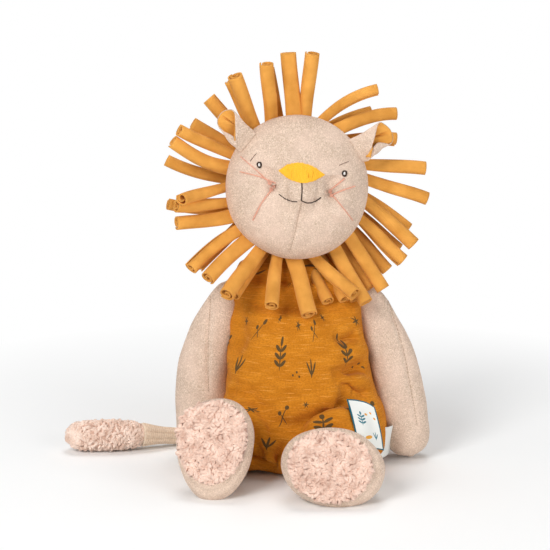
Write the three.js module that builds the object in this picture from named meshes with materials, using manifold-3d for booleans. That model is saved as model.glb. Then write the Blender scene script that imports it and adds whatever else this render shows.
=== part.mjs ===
// A seated plush lion: a stuffed body in a romper, and a round head in a mane of rolled strips.
// Millimetres, +Z up. The lion sits on z = 0 with its seat's centre at the origin and faces -Y.
// Left and right are the lion's own sides, so its left arm is at +X.
import * as THREE from "three";
import { mergeVertices } from "three/addons/utils/BufferGeometryUtils.js";
import Module from "manifold-3d";

// Clearances and seams
const seamGap = 0.3; // between two pieces that touch
const floorPress = 0.5; // how deep the floor presses what rests on it flat
const trimOverrun = 3; // how far a piece starts inside the larger one that trims it

// Body, which is the stuffed romper
const bodyHeight = 137;
const bodyHalfWidth = 57;
const bodyHalfDepth = 39;
const neckSetBack = 20;
const bodySquareness = 2.7; // of its outline seen from above: 2 is an oval, and more is squarer
const thighHalfWidth = 21;
const thighHalfHeight = 24;
const thighReach = 46; // from the seat's centre to the front of the romper's leg
const thighSpread = 30; // from the middle to the root of a thigh
const legSkew = 10; // how far both thighs' fronts lie towards the right side

// Head
const headRadius = 45.6; // of the seam round the face
const faceBulge = 27;
const headBackDepth = 37;
const headPoleDegrees = 84; // how far the form's first and last ring lie from the seam round the face
const headBack = 1; // how far the head's centre lies behind the seat's
const headLift = 40; // from the neck's top to the head's centre
const headTurnDegrees = 10;
const headTipDegrees = 12;
const headTiltDegrees = 5.5;

// Mane: strips of jersey, each rolled up into a spiral
const rollLength = 41;
const rollRadius = 5.7;
const jerseyThickness = 1.5;
const windingGap = 0.6;
const rollCoreRadius = 0.45;
const backLayerShare = 2.8; // how far behind the seam the back layer lies, of a roll's radius
const bentFromDegrees = 10; // a roll that bends less than this has no ring in its middle
const liftEase = 0.3; // how soon a roll turns up to its lift: 1 is evenly, and less is sooner
const goldenDegrees = 137.5; // turns each roll's free edge another way than its neighbours'

// Ears
const earReach = 18;
const earHalfWidth = 9.4;
const earHalfDepth = 6.8;
const earWall = 1.5;
const earLiningWall = 1;
const earRootForward = 7.5; // how far the ear's root lies in front of the face's seam
const earClockDegrees = 54; // from the top of the face to the ear
const earBendDegrees = 42; // how far the ear's opening turns to the front
const earRootBendShare = 0.25; // how much of that it has turned halfway
const earFloorShare = 0.3; // how far along the ear its hollow starts
const liningFloorShare = 0.12; // how far past that the lining's hollow starts

// Arms
const armLength = 97; // from the shoulder to the middle of the hand
const handRadius = 17.5;
const handDepthShare = 0.9; // from front to back, of its radius
const shoulderInset = 12; // from the body's widest line in to the shoulder
const shoulderDrop = 25; // from the body's top down to the shoulder
const shoulderBack = 12;

// Legs
const legLength = 56; // from the romper's edge to the face of the sole
const footHalfLength = 31.5;
const footHalfWidth = 24;
const solePadThickness = 2.2;
const soleHalfLength = 25.5;
const soleHalfWidth = 21;
const legRootDepth = 12; // how far inside the thigh the leg's form starts
const hipPivotShare = 0.8; // how far up the thigh's half-height the leg's seam folds

// Tail
const tailCordRadius = 5.4;
const tailTuftRadius = 10.8;
const tailTuftLength = 46;
const tailReach = 79; // from the root to the tuft, along the floor
const tailRootBack = 36; // how far the tail's root lies behind the seat's centre
const tailRootSide = 22;
const tailRootDepth = 6; // how far inside the body the cord's form starts
const tailForwardShare = 0.28; // how far its tuft's end lies to the front, of its reach
const tailMiddleShare = 0.5; // where the cord first lies on the floor, of its reach
const tailMiddleForwardShare = 0.1;
const tuftForwardShare = 0.06; // how far the tuft runs to the front, of its length

// Sewn labels on the left side seam
const labelThickness = 0.8;
const labelHeight = 31;
const labelTiltDegrees = 14; // how far its top leans to the lion's right
const careLabelHeight = 21;
const careLabelTiltDegrees = -12;

// How far the joints turn
const headBackDegrees = 20;
const armRaiseDegrees = 60;
const legRaiseDegrees = 45;
const tailSwingDegrees = 45;
const sweepStepDegrees = 10;

// How finely the soft forms are cut into facets
const bodySides = 24;
const bodyRings = 14;
const headSides = 26;
const headRings = 11;
const limbSides = 16;
const limbRings = 10;
const thighRings = 8;
const legSides = 18;
const earSides = 12;
const earRings = 7;
const tailSides = 12;
const tailRings = 8;
const tuftSides = 14;
const windingFacets = 7; // on each turn of a roll
const labelSteps = 6;

// Each row of the mane: where it starts round the face, clockwise from the top, how it swings away
// from straight out, how much further it has turned by its tip, how far it lifts towards the front,
// all in degrees, and its length and its thickness as shares of the roll's own.
const frontRollShares = [
  [355.5, -5, 0, 12, 0.97, 1.02],
  [5.5, -7, 0, 24, 1.0, 0.92],
  [16, 22, 36, 4, 1.04, 0.76],
  [30, 26, 30, -2, 1.02, 0.82],
  [66, 22, 4, 2, 1.02, 0.92],
  [78, 24, 4, 2, 1.04, 0.92],
  [96, 26, 8, 2, 1.04, 0.92],
  [111, 20, -4, 4, 0.96, 0.92],
  [127, 18, 0, 10, 1.0, 0.92],
  [143, 8, -2, 20, 1.02, 0.92],
  [164, -28, -4, 36, 0.94, 0.92],
  [179.5, -15, 0, 28, 0.95, 1.02],
  [193, -5, 0, 36, 0.9, 0.96],
  [206, 14, -8, 30, 1.0, 1.0],
  [218, 14, -12, 26, 0.98, 0.94],
  [229.5, 8, -16, 16, 1.0, 0.86],
  [241, 16, 4, 14, 0.9, 0.86],
  [254, 2, 12, 26, 0.88, 0.84],
  [267, -12, -10, 40, 0.9, 0.84],
  [283, -8, 26, 14, 0.98, 0.84],
  [294, -8, 6, 20, 0.95, 0.84],
  [322, 8, 0, 24, 0.9, 0.96],
  [335.5, 13, 0, 26, 0.9, 0.9],
];
const backRollShares = [
  [346, -3, 0, 6, 0.9, 0.86],
  [19, 40, 14, 0, 0.9, 0.82],
  [37, 36, 18, -4, 1.0, 0.9],
  [87, 30, 8, 0, 1.04, 0.92],
  [104, 22, 0, 0, 0.98, 0.88],
  [118, 16, 0, 2, 1.0, 0.92],
  [133, 12, 0, 18, 1.0, 0.84],
  [144, 9, 0, 30, 1.04, 0.8],
  [155, -3, 0, 34, 1.0, 0.8],
  [166, -8, 0, 36, 0.95, 0.84],
  [200, 14, 0, 26, 1.02, 0.9],
  [234, -12, 0, 10, 0.98, 0.86],
  [248, 10, 20, 8, 1.02, 0.8],
  [275, -4, 22, 0, 1.04, 0.8],
  [301, -5, 0, 4, 0.88, 0.86],
  [311, 4, 0, 0, 0.9, 0.94],
  [322, 6, 0, 14, 0.95, 0.88],
];
const rollRootShare = 0.8; // how thick a roll is where it is sewn in
const straightStepShares = [0, 0.28, 1]; // the places of its rings along it: full thickness from the second
const bentStepShares = [0, 0.28, 0.64, 1];

// Profiles of the stuffed forms. Each row gives a ring's place along the form, and its width and
// depth, as shares of the form's length, half-width and half-depth.
const bodyProfileShares = [
  [0, 0.72, 0.7],
  [0.02, 0.87, 0.86],
  [0.1, 1, 1],
  [0.22, 0.99, 1],
  [0.42, 0.86, 0.95],
  [0.6, 0.8, 0.84],
  [0.76, 0.77, 0.68],
  [0.87, 0.69, 0.54],
  [0.95, 0.47, 0.42],
  [1, 0.32, 0.32],
];
const bodyLeanShares = [0, 0.04, 0.2, 0.55, 0.9, 1]; // of the neck's set-back, from the seat up
const armProfileShares = [
  [0, 0.22, 0.2],
  [0.03, 0.42, 0.4],
  [0.12, 0.64, 0.58],
  [0.3, 0.9, 0.8],
  [0.5, 0.98, 0.94],
  [0.78, 1, 1],
  [0.93, 0.84, 0.84],
  [0.985, 0.5, 0.5],
  [1, 0.2, 0.2],
];
const thighProfileShares = [
  [0, 0.6, 0.6],
  [0.3, 0.95, 0.95],
  [0.6, 1, 1],
  [0.84, 0.9, 0.9],
  [0.96, 0.66, 0.66],
  [1, 0.4, 0.4],
];
const legProfileShares = [
  [0, 0.5, 0.62],
  [0.3, 0.58, 0.74],
  [0.55, 0.72, 0.86],
  [0.72, 0.9, 0.95],
  [0.86, 1, 1],
  [0.96, 0.93, 0.94],
  [1, 0.8, 0.82],
];
const earProfileShares = [
  [0, 0.8, 0.42],
  [0.3, 0.76, 0.55],
  [0.65, 0.88, 0.82],
  [1, 1, 1],
];
const tailProfileShares = [
  [0, 1.05, 1.05],
  [0.5, 0.95, 0.95],
  [1, 1, 1],
];
const tuftProfileShares = [
  [0, 0.5, 0.5],
  [0.12, 0.82, 0.8],
  [0.45, 1, 1],
  [0.85, 0.9, 0.92],
  [0.97, 0.72, 0.74],
  [1, 0.5, 0.5],
];

// The ways of the two labels from their free edge to the side seam: across and back, of the body's
// half-sizes, and how high their middles lie, of the thigh's half-height.
const sideLabelPathShares = [
  [0.63, -1.11],
  [0.75, -0.98],
  [0.87, -0.8],
  [0.9, -0.6],
];
const sideLabelHeightShare = 1.3;
const careLabelPathShares = [
  [1.09, -0.66],
  [0.99, -0.62],
  [0.88, -0.52],
];
const careLabelHeightShare = 0.75;

// The two arms as they hang: how far each hand lies outwards and forwards, of the arm's length, and
// how far its elbow bows outwards, of the hand's radius.
const leftArm = { side: 1, outwardsShare: 0.26, forwardsShare: 0.14, bowShare: 0.18 };
const rightArm = { side: -1, outwardsShare: 0.16, forwardsShare: 0.17, bowShare: 0.34 };

// The two feet as they lie: how far each is rolled about its leg, in degrees, how far the sole lies in
// front, of the leg's length, and how far outwards, of the foot's half-width.
const leftFoot = { side: 1, rollDegrees: 80, forwardsShare: 1.02, outwardsShare: 0.04 };
const rightFoot = { side: -1, rollDegrees: 3, forwardsShare: 0.74, outwardsShare: 0.5 };

const wasm = await Module();
wasm.setup();

const acrossX = new THREE.Vector3(1, 0, 0);
const upZ = new THREE.Vector3(0, 0, 1);
const forwardY = new THREE.Vector3(0, -1, 0);

// Solids, cuts and sweeps

function solidOf(geometry, matrix = new THREE.Matrix4()) {
  const plain = geometry.clone().applyMatrix4(matrix);
  plain.deleteAttribute("normal");
  plain.deleteAttribute("uv");
  const merged = mergeVertices(plain);
  return new wasm.Manifold(
    new wasm.Mesh({
      numProp: 3,
      vertProperties: new Float32Array(merged.attributes.position.array),
      triVerts: new Uint32Array(merged.index.array),
    }),
  );
}

function geometryOf(solid) {
  const mesh = solid.getMesh();
  const geometry = new THREE.BufferGeometry();
  geometry.setAttribute("position", new THREE.BufferAttribute(mesh.vertProperties, mesh.numProp));
  geometry.setIndex(new THREE.BufferAttribute(mesh.triVerts, 1));
  geometry.computeVertexNormals();
  return geometry;
}

// The matrix of a turn about a line through a pivot.
function turnAbout(pivot, axis, degrees) {
  const turn = new THREE.Matrix4().makeRotationAxis(axis, THREE.MathUtils.degToRad(degrees));
  const there = new THREE.Matrix4().makeTranslation(pivot.x, pivot.y, pivot.z);
  const back = new THREE.Matrix4().makeTranslation(-pivot.x, -pivot.y, -pivot.z);
  return there.multiply(turn).multiply(back);
}

// Cuts a solid by another form in each place that the form takes as it turns about a joint.
function cutBySweep(solid, form, joint, direction) {
  const steps = Math.ceil(joint.degrees / sweepStepDegrees);
  let left = solid;
  for (let step = 0; step <= steps; step += 1) {
    const degrees = (direction * joint.degrees * step) / steps;
    left = left.subtract(solidOf(form, turnAbout(joint.pivot, joint.axis, degrees)));
  }
  return left;
}

// Cuts off what lies below the floor.
function cutAtFloor(solid) {
  const reach = bodyHeight * 2;
  const slab = new THREE.BoxGeometry(reach * 2, reach * 2, reach);
  slab.translate(0, 0, -reach / 2);
  return solid.subtract(solidOf(slab));
}

// Lofts

// Joins rings of points, each counter-clockwise about the way from the first ring to the last.
function loft(rings, outline) {
  const count = outline.length;
  const caps = THREE.ShapeUtils.triangulateShape(outline, []);
  const last = (rings.length - 1) * count;
  const index = [];
  for (let ring = 0; ring < rings.length - 1; ring += 1) {
    for (let side = 0; side < count; side += 1) {
      const a = ring * count + side;
      const b = ring * count + ((side + 1) % count);
      index.push(a, b, b + count, a, b + count, a + count);
    }
  }
  for (const [a, b, c] of caps) {
    index.push(a, c, b, last + a, last + b, last + c);
  }
  const geometry = new THREE.BufferGeometry().setFromPoints(rings.flat());
  geometry.setIndex(index);
  return geometry;
}

function circleOutline(sides) {
  const points = [];
  for (let side = 0; side < sides; side += 1) {
    const angle = (2 * Math.PI * side) / sides;
    points.push(new THREE.Vector2(Math.cos(angle), Math.sin(angle)));
  }
  return points;
}

// A squared circle: the larger its squareness, the fuller its corners.
function squaredOutline(sides, squareness) {
  const fuller = (value) => Math.sign(value) * Math.abs(value) ** (2 / squareness);
  return circleOutline(sides).map((point) => new THREE.Vector2(fuller(point.x), fuller(point.y)));
}

// One ring: an outline stretched by its half-sizes, square to a direction.
function ringAt(centre, direction, across, outline, halfWidth, halfDepth) {
  const sideways = across.clone().addScaledVector(direction, -across.dot(direction)).normalize();
  const deep = direction.clone().cross(sideways);
  return outline.map((point) =>
    centre
      .clone()
      .addScaledVector(sideways, point.x * halfWidth)
      .addScaledVector(deep, point.y * halfDepth),
  );
}

// A smooth run of rings through the rows of a profile: place, width and depth, all as shares.
function smoothProfile(rowShares, rings) {
  const rows = rowShares.map((row) => new THREE.Vector3(...row));
  return new THREE.CatmullRomCurve3(rows, false, "centripetal").getPoints(rings - 1);
}

// A stuffed form: oval rings strung on a curve. Its growth makes it larger all round.
function stuffedForm(form, growth = 0) {
  const outline = form.outline ?? circleOutline(form.sides);
  const rings = smoothProfile(form.profileShares, form.rings).map((row) => {
    const along = THREE.MathUtils.clamp(row.x, 0, 1);
    const direction = form.spine.getTangent(along);
    const centre = form.spine.getPoint(along).addScaledVector(direction, growth * (2 * along - 1));
    const halfWidth = form.halfWidth * row.y + growth;
    const halfDepth = form.halfDepth * row.z + growth;
    return ringAt(centre, direction, form.across, outline, halfWidth, halfDepth);
  });
  return loft(rings, outline);
}

function curveThrough(...points) {
  return new THREE.CatmullRomCurve3(points, false, "centripetal");
}

// Body and thighs

function bodyForm() {
  const points = bodyLeanShares.map((share, step) => {
    const height = (bodyHeight * step) / (bodyLeanShares.length - 1);
    return new THREE.Vector3(0, neckSetBack * share, height - floorPress);
  });
  return {
    spine: curveThrough(...points),
    profileShares: bodyProfileShares,
    halfWidth: bodyHalfWidth,
    halfDepth: bodyHalfDepth,
    across: acrossX,
    outline: squaredOutline(bodySides, bodySquareness),
    rings: bodyRings,
  };
}

// The front end of a thigh, where its leg is sewn on.
function thighEnd(side) {
  const height = thighHalfHeight - floorPress;
  return new THREE.Vector3(side * thighSpread - legSkew, -thighReach, height);
}

function thighForm(side) {
  const end = thighEnd(side);
  return {
    spine: curveThrough(new THREE.Vector3(side * thighSpread, 0, end.z), end),
    profileShares: thighProfileShares,
    halfWidth: thighHalfWidth,
    halfDepth: thighHalfHeight,
    across: acrossX,
    sides: limbSides,
    rings: thighRings,
  };
}

function romper(growth) {
  const body = solidOf(stuffedForm(bodyForm(), growth));
  const left = solidOf(stuffedForm(thighForm(1), growth));
  const right = solidOf(stuffedForm(thighForm(-1), growth));
  return body.add(left).add(right);
}

// Head, in a frame of its own: x across the face, y up it and z straight out of it

const neckTop = new THREE.Vector3(0, neckSetBack, bodyHeight - floorPress);
const headCentre = new THREE.Vector3(0, headBack, neckTop.z + headLift);

function faceMatrix() {
  const { degToRad } = THREE.MathUtils;
  const upright = new THREE.Matrix4().makeBasis(acrossX, upZ, forwardY);
  const turned = new THREE.Matrix4().makeRotationY(degToRad(headTurnDegrees));
  const tipped = new THREE.Matrix4().makeRotationX(-degToRad(headTipDegrees));
  const tilted = new THREE.Matrix4().makeRotationZ(-degToRad(headTiltDegrees));
  return upright.multiply(turned).multiply(tipped).multiply(tilted).setPosition(headCentre);
}

// The head's radius at a depth in front of the seam round the face, or behind it if negative.
function headRadiusAt(depth) {
  const reach = depth > 0 ? faceBulge : headBackDepth;
  return headRadius * Math.sqrt(1 - (depth / reach) ** 2);
}

function headForm(growth) {
  const outline = circleOutline(headSides);
  const rings = [];
  for (let ring = 0; ring < headRings; ring += 1) {
    const angle = THREE.MathUtils.degToRad(headPoleDegrees * ((2 * ring) / (headRings - 1) - 1));
    const reach = (angle > 0 ? faceBulge : headBackDepth) + growth;
    const radius = (headRadius + growth) * Math.cos(angle);
    const centre = new THREE.Vector3(0, 0, reach * Math.sin(angle));
    rings.push(ringAt(centre, new THREE.Vector3(0, 0, 1), acrossX, outline, radius, radius));
  }
  return loft(rings, outline).applyMatrix4(faceMatrix());
}

// Mane

// The end of a roll as an outline: a strip of jersey wound inwards, as wide as its radius allows.
function spiralOutline(radius) {
  const pitch = jerseyThickness + windingGap;
  const turns = (radius - jerseyThickness - rollCoreRadius) / pitch;
  const facets = Math.round(turns * windingFacets);
  const outer = [];
  const inner = [];
  for (let facet = 0; facet <= facets; facet += 1) {
    const angle = (2 * Math.PI * facet) / windingFacets;
    const reach = radius - (pitch * facet) / windingFacets;
    const way = new THREE.Vector2(Math.cos(angle), Math.sin(angle));
    outer.push(way.clone().multiplyScalar(reach));
    inner.unshift(way.clone().multiplyScalar(reach - jerseyThickness));
  }
  return [...outer, ...inner];
}

// The direction of a roll, turned from straight out round the face and lifted off its plane.
function rollDirection(clock, swing, lift) {
  const angle = THREE.MathUtils.degToRad(clock + swing);
  const rise = THREE.MathUtils.degToRad(lift);
  const flat = Math.cos(rise);
  return new THREE.Vector3(Math.sin(angle) * flat, Math.cos(angle) * flat, Math.sin(rise));
}

// Lofts an outline along one roll's path, which starts inside the head.
function rollForm(row, depth, outline) {
  const [clock, swing, bend, lift, lengthShare] = row;
  const steps = Math.abs(bend) < bentFromDegrees ? straightStepShares : bentStepShares;
  const start = headRadiusAt(depth) - trimOverrun;
  const length = rollLength * lengthShare + trimOverrun;
  const centre = rollDirection(clock, 0, 0).multiplyScalar(start);
  centre.z = depth;
  const rings = steps.map((share, step) => {
    const stretch = length * (share - (steps[step - 1] ?? 0));
    const middle = (share + (steps[step - 1] ?? 0)) / 2;
    const way = rollDirection(clock, swing + bend * middle, lift * middle ** liftEase);
    centre.addScaledVector(way, stretch);
    const direction = rollDirection(clock, swing + bend * share, lift * share ** liftEase);
    const scale = step === 0 ? rollRootShare : 1;
    return ringAt(centre, direction, new THREE.Vector3(0, 0, 1), outline, scale, scale);
  });
  return loft(rings, outline).applyMatrix4(faceMatrix());
}

function turnOutline(outline, degrees) {
  const centre = new THREE.Vector2();
  return outline.map((point) => point.clone().rotateAround(centre, THREE.MathUtils.degToRad(degrees)));
}

// The mane's rolls as closed forms: the wound strip, and the round room that it fills.
function maneRolls() {
  const layers = [
    ["front", frontRollShares, -(rollRadius + seamGap)],
    ["back", backRollShares, -(rollRadius + seamGap) * backLayerShare],
  ];
  return layers.flatMap(([layer, rowShares, depth]) =>
    rowShares.map((row, number) => {
      const radius = rollRadius * row[5];
      const corner = 1 / Math.cos(Math.PI / windingFacets);
      const round = circleOutline(windingFacets).map((point) =>
        point.multiplyScalar((radius + seamGap) * corner),
      );
      const strip = turnOutline(spiralOutline(radius), goldenDegrees * number);
      return {
        name: `mane_roll_${layer}_${String(number + 1).padStart(2, "0")}`,
        strip: rollForm(row, depth, strip),
        room: rollForm(row, depth, round),
      };
    }),
  );
}

// Ears

// A cup on a curve: its outside runs from the root to the rim, and its inside back to its floor.
function cupForm(form, inset, wall, floorShare) {
  const outline = circleOutline(form.sides);
  const rows = smoothProfile(form.profileShares, form.rings);
  const ring = (row, thickness) => {
    const direction = form.spine.getTangent(row.x);
    const centre = form.spine.getPoint(row.x);
    const halfWidth = form.halfWidth * row.y - thickness;
    const halfDepth = form.halfDepth * row.z - thickness;
    return ringAt(centre, direction, form.across, outline, halfWidth, halfDepth);
  };
  const outside = rows.filter((row) => inset === 0 || row.x >= floorShare);
  const inside = rows.filter((row) => row.x > floorShare + wall / earReach);
  const rings = [
    ...outside.map((row) => ring(row, inset)),
    ...inside.reverse().map((row) => ring(row, inset + wall)),
  ];
  return loft(rings, outline);
}

function earForm(side) {
  const clock = side * earClockDegrees;
  const root = rollDirection(clock, 0, 0).multiplyScalar(headRadiusAt(earRootForward) - trimOverrun);
  root.z = earRootForward;
  const reach = earReach + trimOverrun;
  const rootBend = earBendDegrees * earRootBendShare;
  const middle = root.clone().addScaledVector(rollDirection(clock, 0, rootBend), reach / 2);
  const tip = middle.clone().addScaledVector(rollDirection(clock, 0, earBendDegrees), reach / 2);
  const along = rollDirection(clock, 90, 0);
  return {
    spine: curveThrough(root, middle, tip),
    profileShares: earProfileShares,
    halfWidth: earHalfWidth,
    halfDepth: earHalfDepth,
    across: along,
    sides: earSides,
    rings: earRings,
  };
}

// Arms

function shoulderPoint(side) {
  return new THREE.Vector3(side * (bodyHalfWidth - shoulderInset), shoulderBack, bodyHeight - shoulderDrop);
}

function armForm(arm) {
  const shoulder = shoulderPoint(arm.side);
  const outwards = armLength * arm.outwardsShare;
  const forwards = armLength * arm.forwardsShare;
  const drop = Math.sqrt(armLength ** 2 - outwards ** 2 - forwards ** 2);
  const hand = shoulder.clone().add(new THREE.Vector3(arm.side * outwards, -forwards, -drop));
  const elbow = shoulder.clone().lerp(hand, 0.5);
  elbow.x += arm.side * handRadius * arm.bowShare;
  const start = shoulder.clone().addScaledVector(acrossX, -arm.side * trimOverrun);
  const end = hand.clone().addScaledVector(hand.clone().sub(elbow).normalize(), handRadius);
  return {
    spine: curveThrough(start, elbow, hand, end),
    profileShares: armProfileShares,
    halfWidth: handRadius,
    halfDepth: handRadius * handDepthShare,
    across: acrossX,
    sides: limbSides,
    rings: limbRings,
  };
}

// Legs

function legForm(foot) {
  const root = thighEnd(foot.side);
  const roll = THREE.MathUtils.degToRad(foot.rollDegrees);
  const halfHeight = Math.hypot(footHalfLength * Math.cos(roll), footHalfWidth * Math.sin(roll));
  const start = root.clone().addScaledVector(forwardY, -legRootDepth);
  const end = new THREE.Vector3(
    root.x + foot.side * foot.outwardsShare * footHalfWidth,
    root.y - legLength * foot.forwardsShare,
    halfHeight - floorPress,
  );
  const middle = start.clone().lerp(end, 0.5);
  const rolledUp = new THREE.Vector3(-foot.side * Math.sin(roll), 0, Math.cos(roll));
  return {
    spine: curveThrough(start, middle, end),
    profileShares: legProfileShares,
    halfWidth: footHalfLength,
    halfDepth: footHalfWidth,
    across: rolledUp,
    sides: legSides,
    rings: limbRings,
  };
}

function solePrism(form) {
  const end = form.spine.getPoint(1);
  const direction = form.spine.getTangent(1);
  const outline = circleOutline(form.sides);
  const reach = footHalfWidth / 2;
  const rings = [-reach, reach].map((offset) =>
    ringAt(
      end.clone().addScaledVector(direction, offset),
      direction,
      form.across,
      outline,
      soleHalfLength,
      soleHalfWidth,
    ),
  );
  return solidOf(loft(rings, outline));
}

// Tail

const tailRoot = new THREE.Vector3(-tailRootSide, tailRootBack, tailCordRadius);

function tailEnd() {
  const rise = tailTuftRadius - floorPress;
  return new THREE.Vector3(tailRoot.x - tailReach, tailRoot.y - tailReach * tailForwardShare, rise);
}

function tailCordForm() {
  const end = tailEnd();
  const start = tailRoot.clone().add(new THREE.Vector3(tailRootDepth, -tailRootDepth, 0));
  const middle = new THREE.Vector3(
    tailRoot.x - tailReach * tailMiddleShare,
    tailRoot.y - tailReach * tailMiddleForwardShare,
    tailCordRadius - floorPress,
  );
  return {
    spine: curveThrough(start, tailRoot, middle, end),
    profileShares: tailProfileShares,
    halfWidth: tailCordRadius,
    halfDepth: tailCordRadius,
    across: upZ,
    sides: tailSides,
    rings: tailRings,
  };
}

function tuftForm() {
  const start = tailEnd();
  const end = start.clone().add(new THREE.Vector3(-tailTuftLength, -tailTuftLength * tuftForwardShare, 0));
  return {
    spine: curveThrough(start, end),
    profileShares: tuftProfileShares,
    halfWidth: tailTuftRadius,
    halfDepth: tailTuftRadius,
    across: upZ,
    sides: tuftSides,
    rings: limbRings,
  };
}

// Labels, which are sewn in at the romper's left side seam

function labelForm(pathShares, heightShare, height, tiltDegrees) {
  const points = pathShares.map(
    ([across, back]) =>
      new THREE.Vector3(bodyHalfWidth * across, bodyHalfDepth * back, thighHalfHeight * heightShare),
  );
  const path = curveThrough(...points);
  const up = upZ.clone().applyAxisAngle(forwardY, THREE.MathUtils.degToRad(tiltDegrees));
  const corner = new THREE.Shape().moveTo(1, 1).lineTo(-1, 1).lineTo(-1, -1).lineTo(1, -1);
  const rings = [];
  for (let ring = 0; ring <= labelSteps; ring += 1) {
    const centre = path.getPoint(ring / labelSteps);
    const direction = path.getTangent(ring / labelSteps);
    rings.push(ringAt(centre, direction, up, corner.getPoints(), height / 2, labelThickness / 2));
  }
  return loft(rings, corner.getPoints());
}

// Joints: a pivot, an axis and how far it turns

const neckJoint = { pivot: neckTop, axis: new THREE.Vector3(-1, 0, 0), degrees: headBackDegrees };

function shoulderJoint(side) {
  return { pivot: shoulderPoint(side), axis: new THREE.Vector3(0, -side, 0), degrees: armRaiseDegrees };
}

function hipJoint(side) {
  const end = thighEnd(side);
  const pivot = new THREE.Vector3(end.x, end.y, end.z + thighHalfHeight * hipPivotShare);
  return { pivot, axis: new THREE.Vector3(-1, 0, 0), degrees: legRaiseDegrees };
}

const tailJoint = { pivot: tailRoot, axis: new THREE.Vector3(0, 0, -1), degrees: tailSwingDegrees };

// Materials

function fabric(color, roughness = 0.95) {
  return new THREE.MeshStandardMaterial({ color, roughness, metalness: 0 });
}

const beigeVelour = fabric(0xd7c3b2);
const maneJersey = fabric(0xe0a045, 0.9);
const romperJersey = fabric(0xd88f28, 0.92);
const pinkBoucle = fabric(0xebcdbe);
const knitCord = fabric(0xc8aa8c);
const labelWeave = fabric(0xe9e4da, 0.8);
const careSatin = fabric(0xf4f2ee, 0.6);

// The assembly

const lion = new THREE.Group();
lion.name = "plush_lion";

// A group that stands at a joint's pivot, for the pieces that turn with it.
function groupAt(joint) {
  const group = new THREE.Group();
  group.position.copy(joint.pivot);
  lion.add(group);
  return group;
}

function addPiece(group, name, solid, material) {
  const geometry = geometryOf(solid);
  geometry.translate(-group.position.x, -group.position.y, -group.position.z);
  const mesh = new THREE.Mesh(geometry, material);
  mesh.name = name;
  group.add(mesh);
}

function addBody() {
  const torso = cutBySweep(cutAtFloor(romper(0)), headForm(seamGap), neckJoint, 1);
  addPiece(lion, "torso", torso, romperJersey);
  const grownBody = romper(seamGap);
  const sideLabel = labelForm(sideLabelPathShares, sideLabelHeightShare, labelHeight, labelTiltDegrees);
  addPiece(lion, "side_label", solidOf(sideLabel).subtract(grownBody), labelWeave);
  const careLabel = labelForm(
    careLabelPathShares,
    careLabelHeightShare,
    careLabelHeight,
    careLabelTiltDegrees,
  );
  addPiece(lion, "care_label", solidOf(careLabel).subtract(grownBody), careSatin);
}

function addHead() {
  const group = groupAt(neckJoint);
  const grownHead = solidOf(headForm(seamGap));
  const grownBody = geometryOf(romper(seamGap));
  addPiece(group, "head", solidOf(headForm(0)), beigeVelour);
  const rooms = [];
  for (const [side, name] of [[1, "left"], [-1, "right"]]) {
    const form = earForm(side);
    const shell = solidOf(cupForm(form, 0, earWall, earFloorShare).applyMatrix4(faceMatrix()));
    const inset = earWall + seamGap;
    const lining = cupForm(form, inset, earLiningWall, earFloorShare + liningFloorShare);
    addPiece(group, `ear_shell_${name}`, shell.subtract(grownHead), beigeVelour);
    addPiece(group, `ear_lining_${name}`, solidOf(lining.applyMatrix4(faceMatrix())), maneJersey);
  }
  for (const roll of maneRolls()) {
    let strip = solidOf(roll.strip).subtract(grownHead);
    strip = cutBySweep(strip, grownBody, neckJoint, -1);
    for (const room of rooms) {
      strip = strip.subtract(room);
    }
    rooms.push(solidOf(roll.room));
    addPiece(group, roll.name, strip, maneJersey);
  }
}

function addArm(arm, name) {
  const joint = shoulderJoint(arm.side);
  const grownBody = geometryOf(romper(seamGap));
  const solid = cutBySweep(solidOf(stuffedForm(armForm(arm))), grownBody, joint, -1);
  addPiece(groupAt(joint), name, solid, beigeVelour);
}

function addLeg(foot, name) {
  const joint = hipJoint(foot.side);
  const group = groupAt(joint);
  const form = legForm(foot);
  const grownBody = geometryOf(romper(seamGap));
  const leg = cutAtFloor(solidOf(stuffedForm(form)));
  addPiece(group, `leg_${name}`, cutBySweep(leg, grownBody, joint, -1), beigeVelour);
  const padSkin = solidOf(stuffedForm(form, seamGap + solePadThickness));
  const pad = padSkin.subtract(solidOf(stuffedForm(form, seamGap))).intersect(solePrism(form));
  addPiece(group, `sole_pad_${name}`, pad, pinkBoucle);
}

function addTail() {
  const group = groupAt(tailJoint);
  const cord = cutAtFloor(solidOf(stuffedForm(tailCordForm())));
  addPiece(group, "tail_cord", cutBySweep(cord, geometryOf(romper(seamGap)), tailJoint, -1), knitCord);
  const grownCord = solidOf(stuffedForm(tailCordForm(), seamGap));
  const tuft = cutAtFloor(solidOf(stuffedForm(tuftForm()))).subtract(grownCord);
  addPiece(group, "tail_tuft", tuft, pinkBoucle);
}

addBody();
addHead();
addArm(leftArm, "arm_left");
addArm(rightArm, "arm_right");
addLeg(leftFoot, "left");
addLeg(rightFoot, "right");
addTail();

export default lion;
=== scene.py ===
# A seated plush lion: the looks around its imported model. Metres, +Z up, and the lion faces -Y.
# Left and right are the lion's own sides, so its left arm is at +X.
import math
import random

import bmesh
import bpy
import numpy as np
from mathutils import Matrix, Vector, noise
from mathutils.bvhtree import BVHTree


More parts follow.
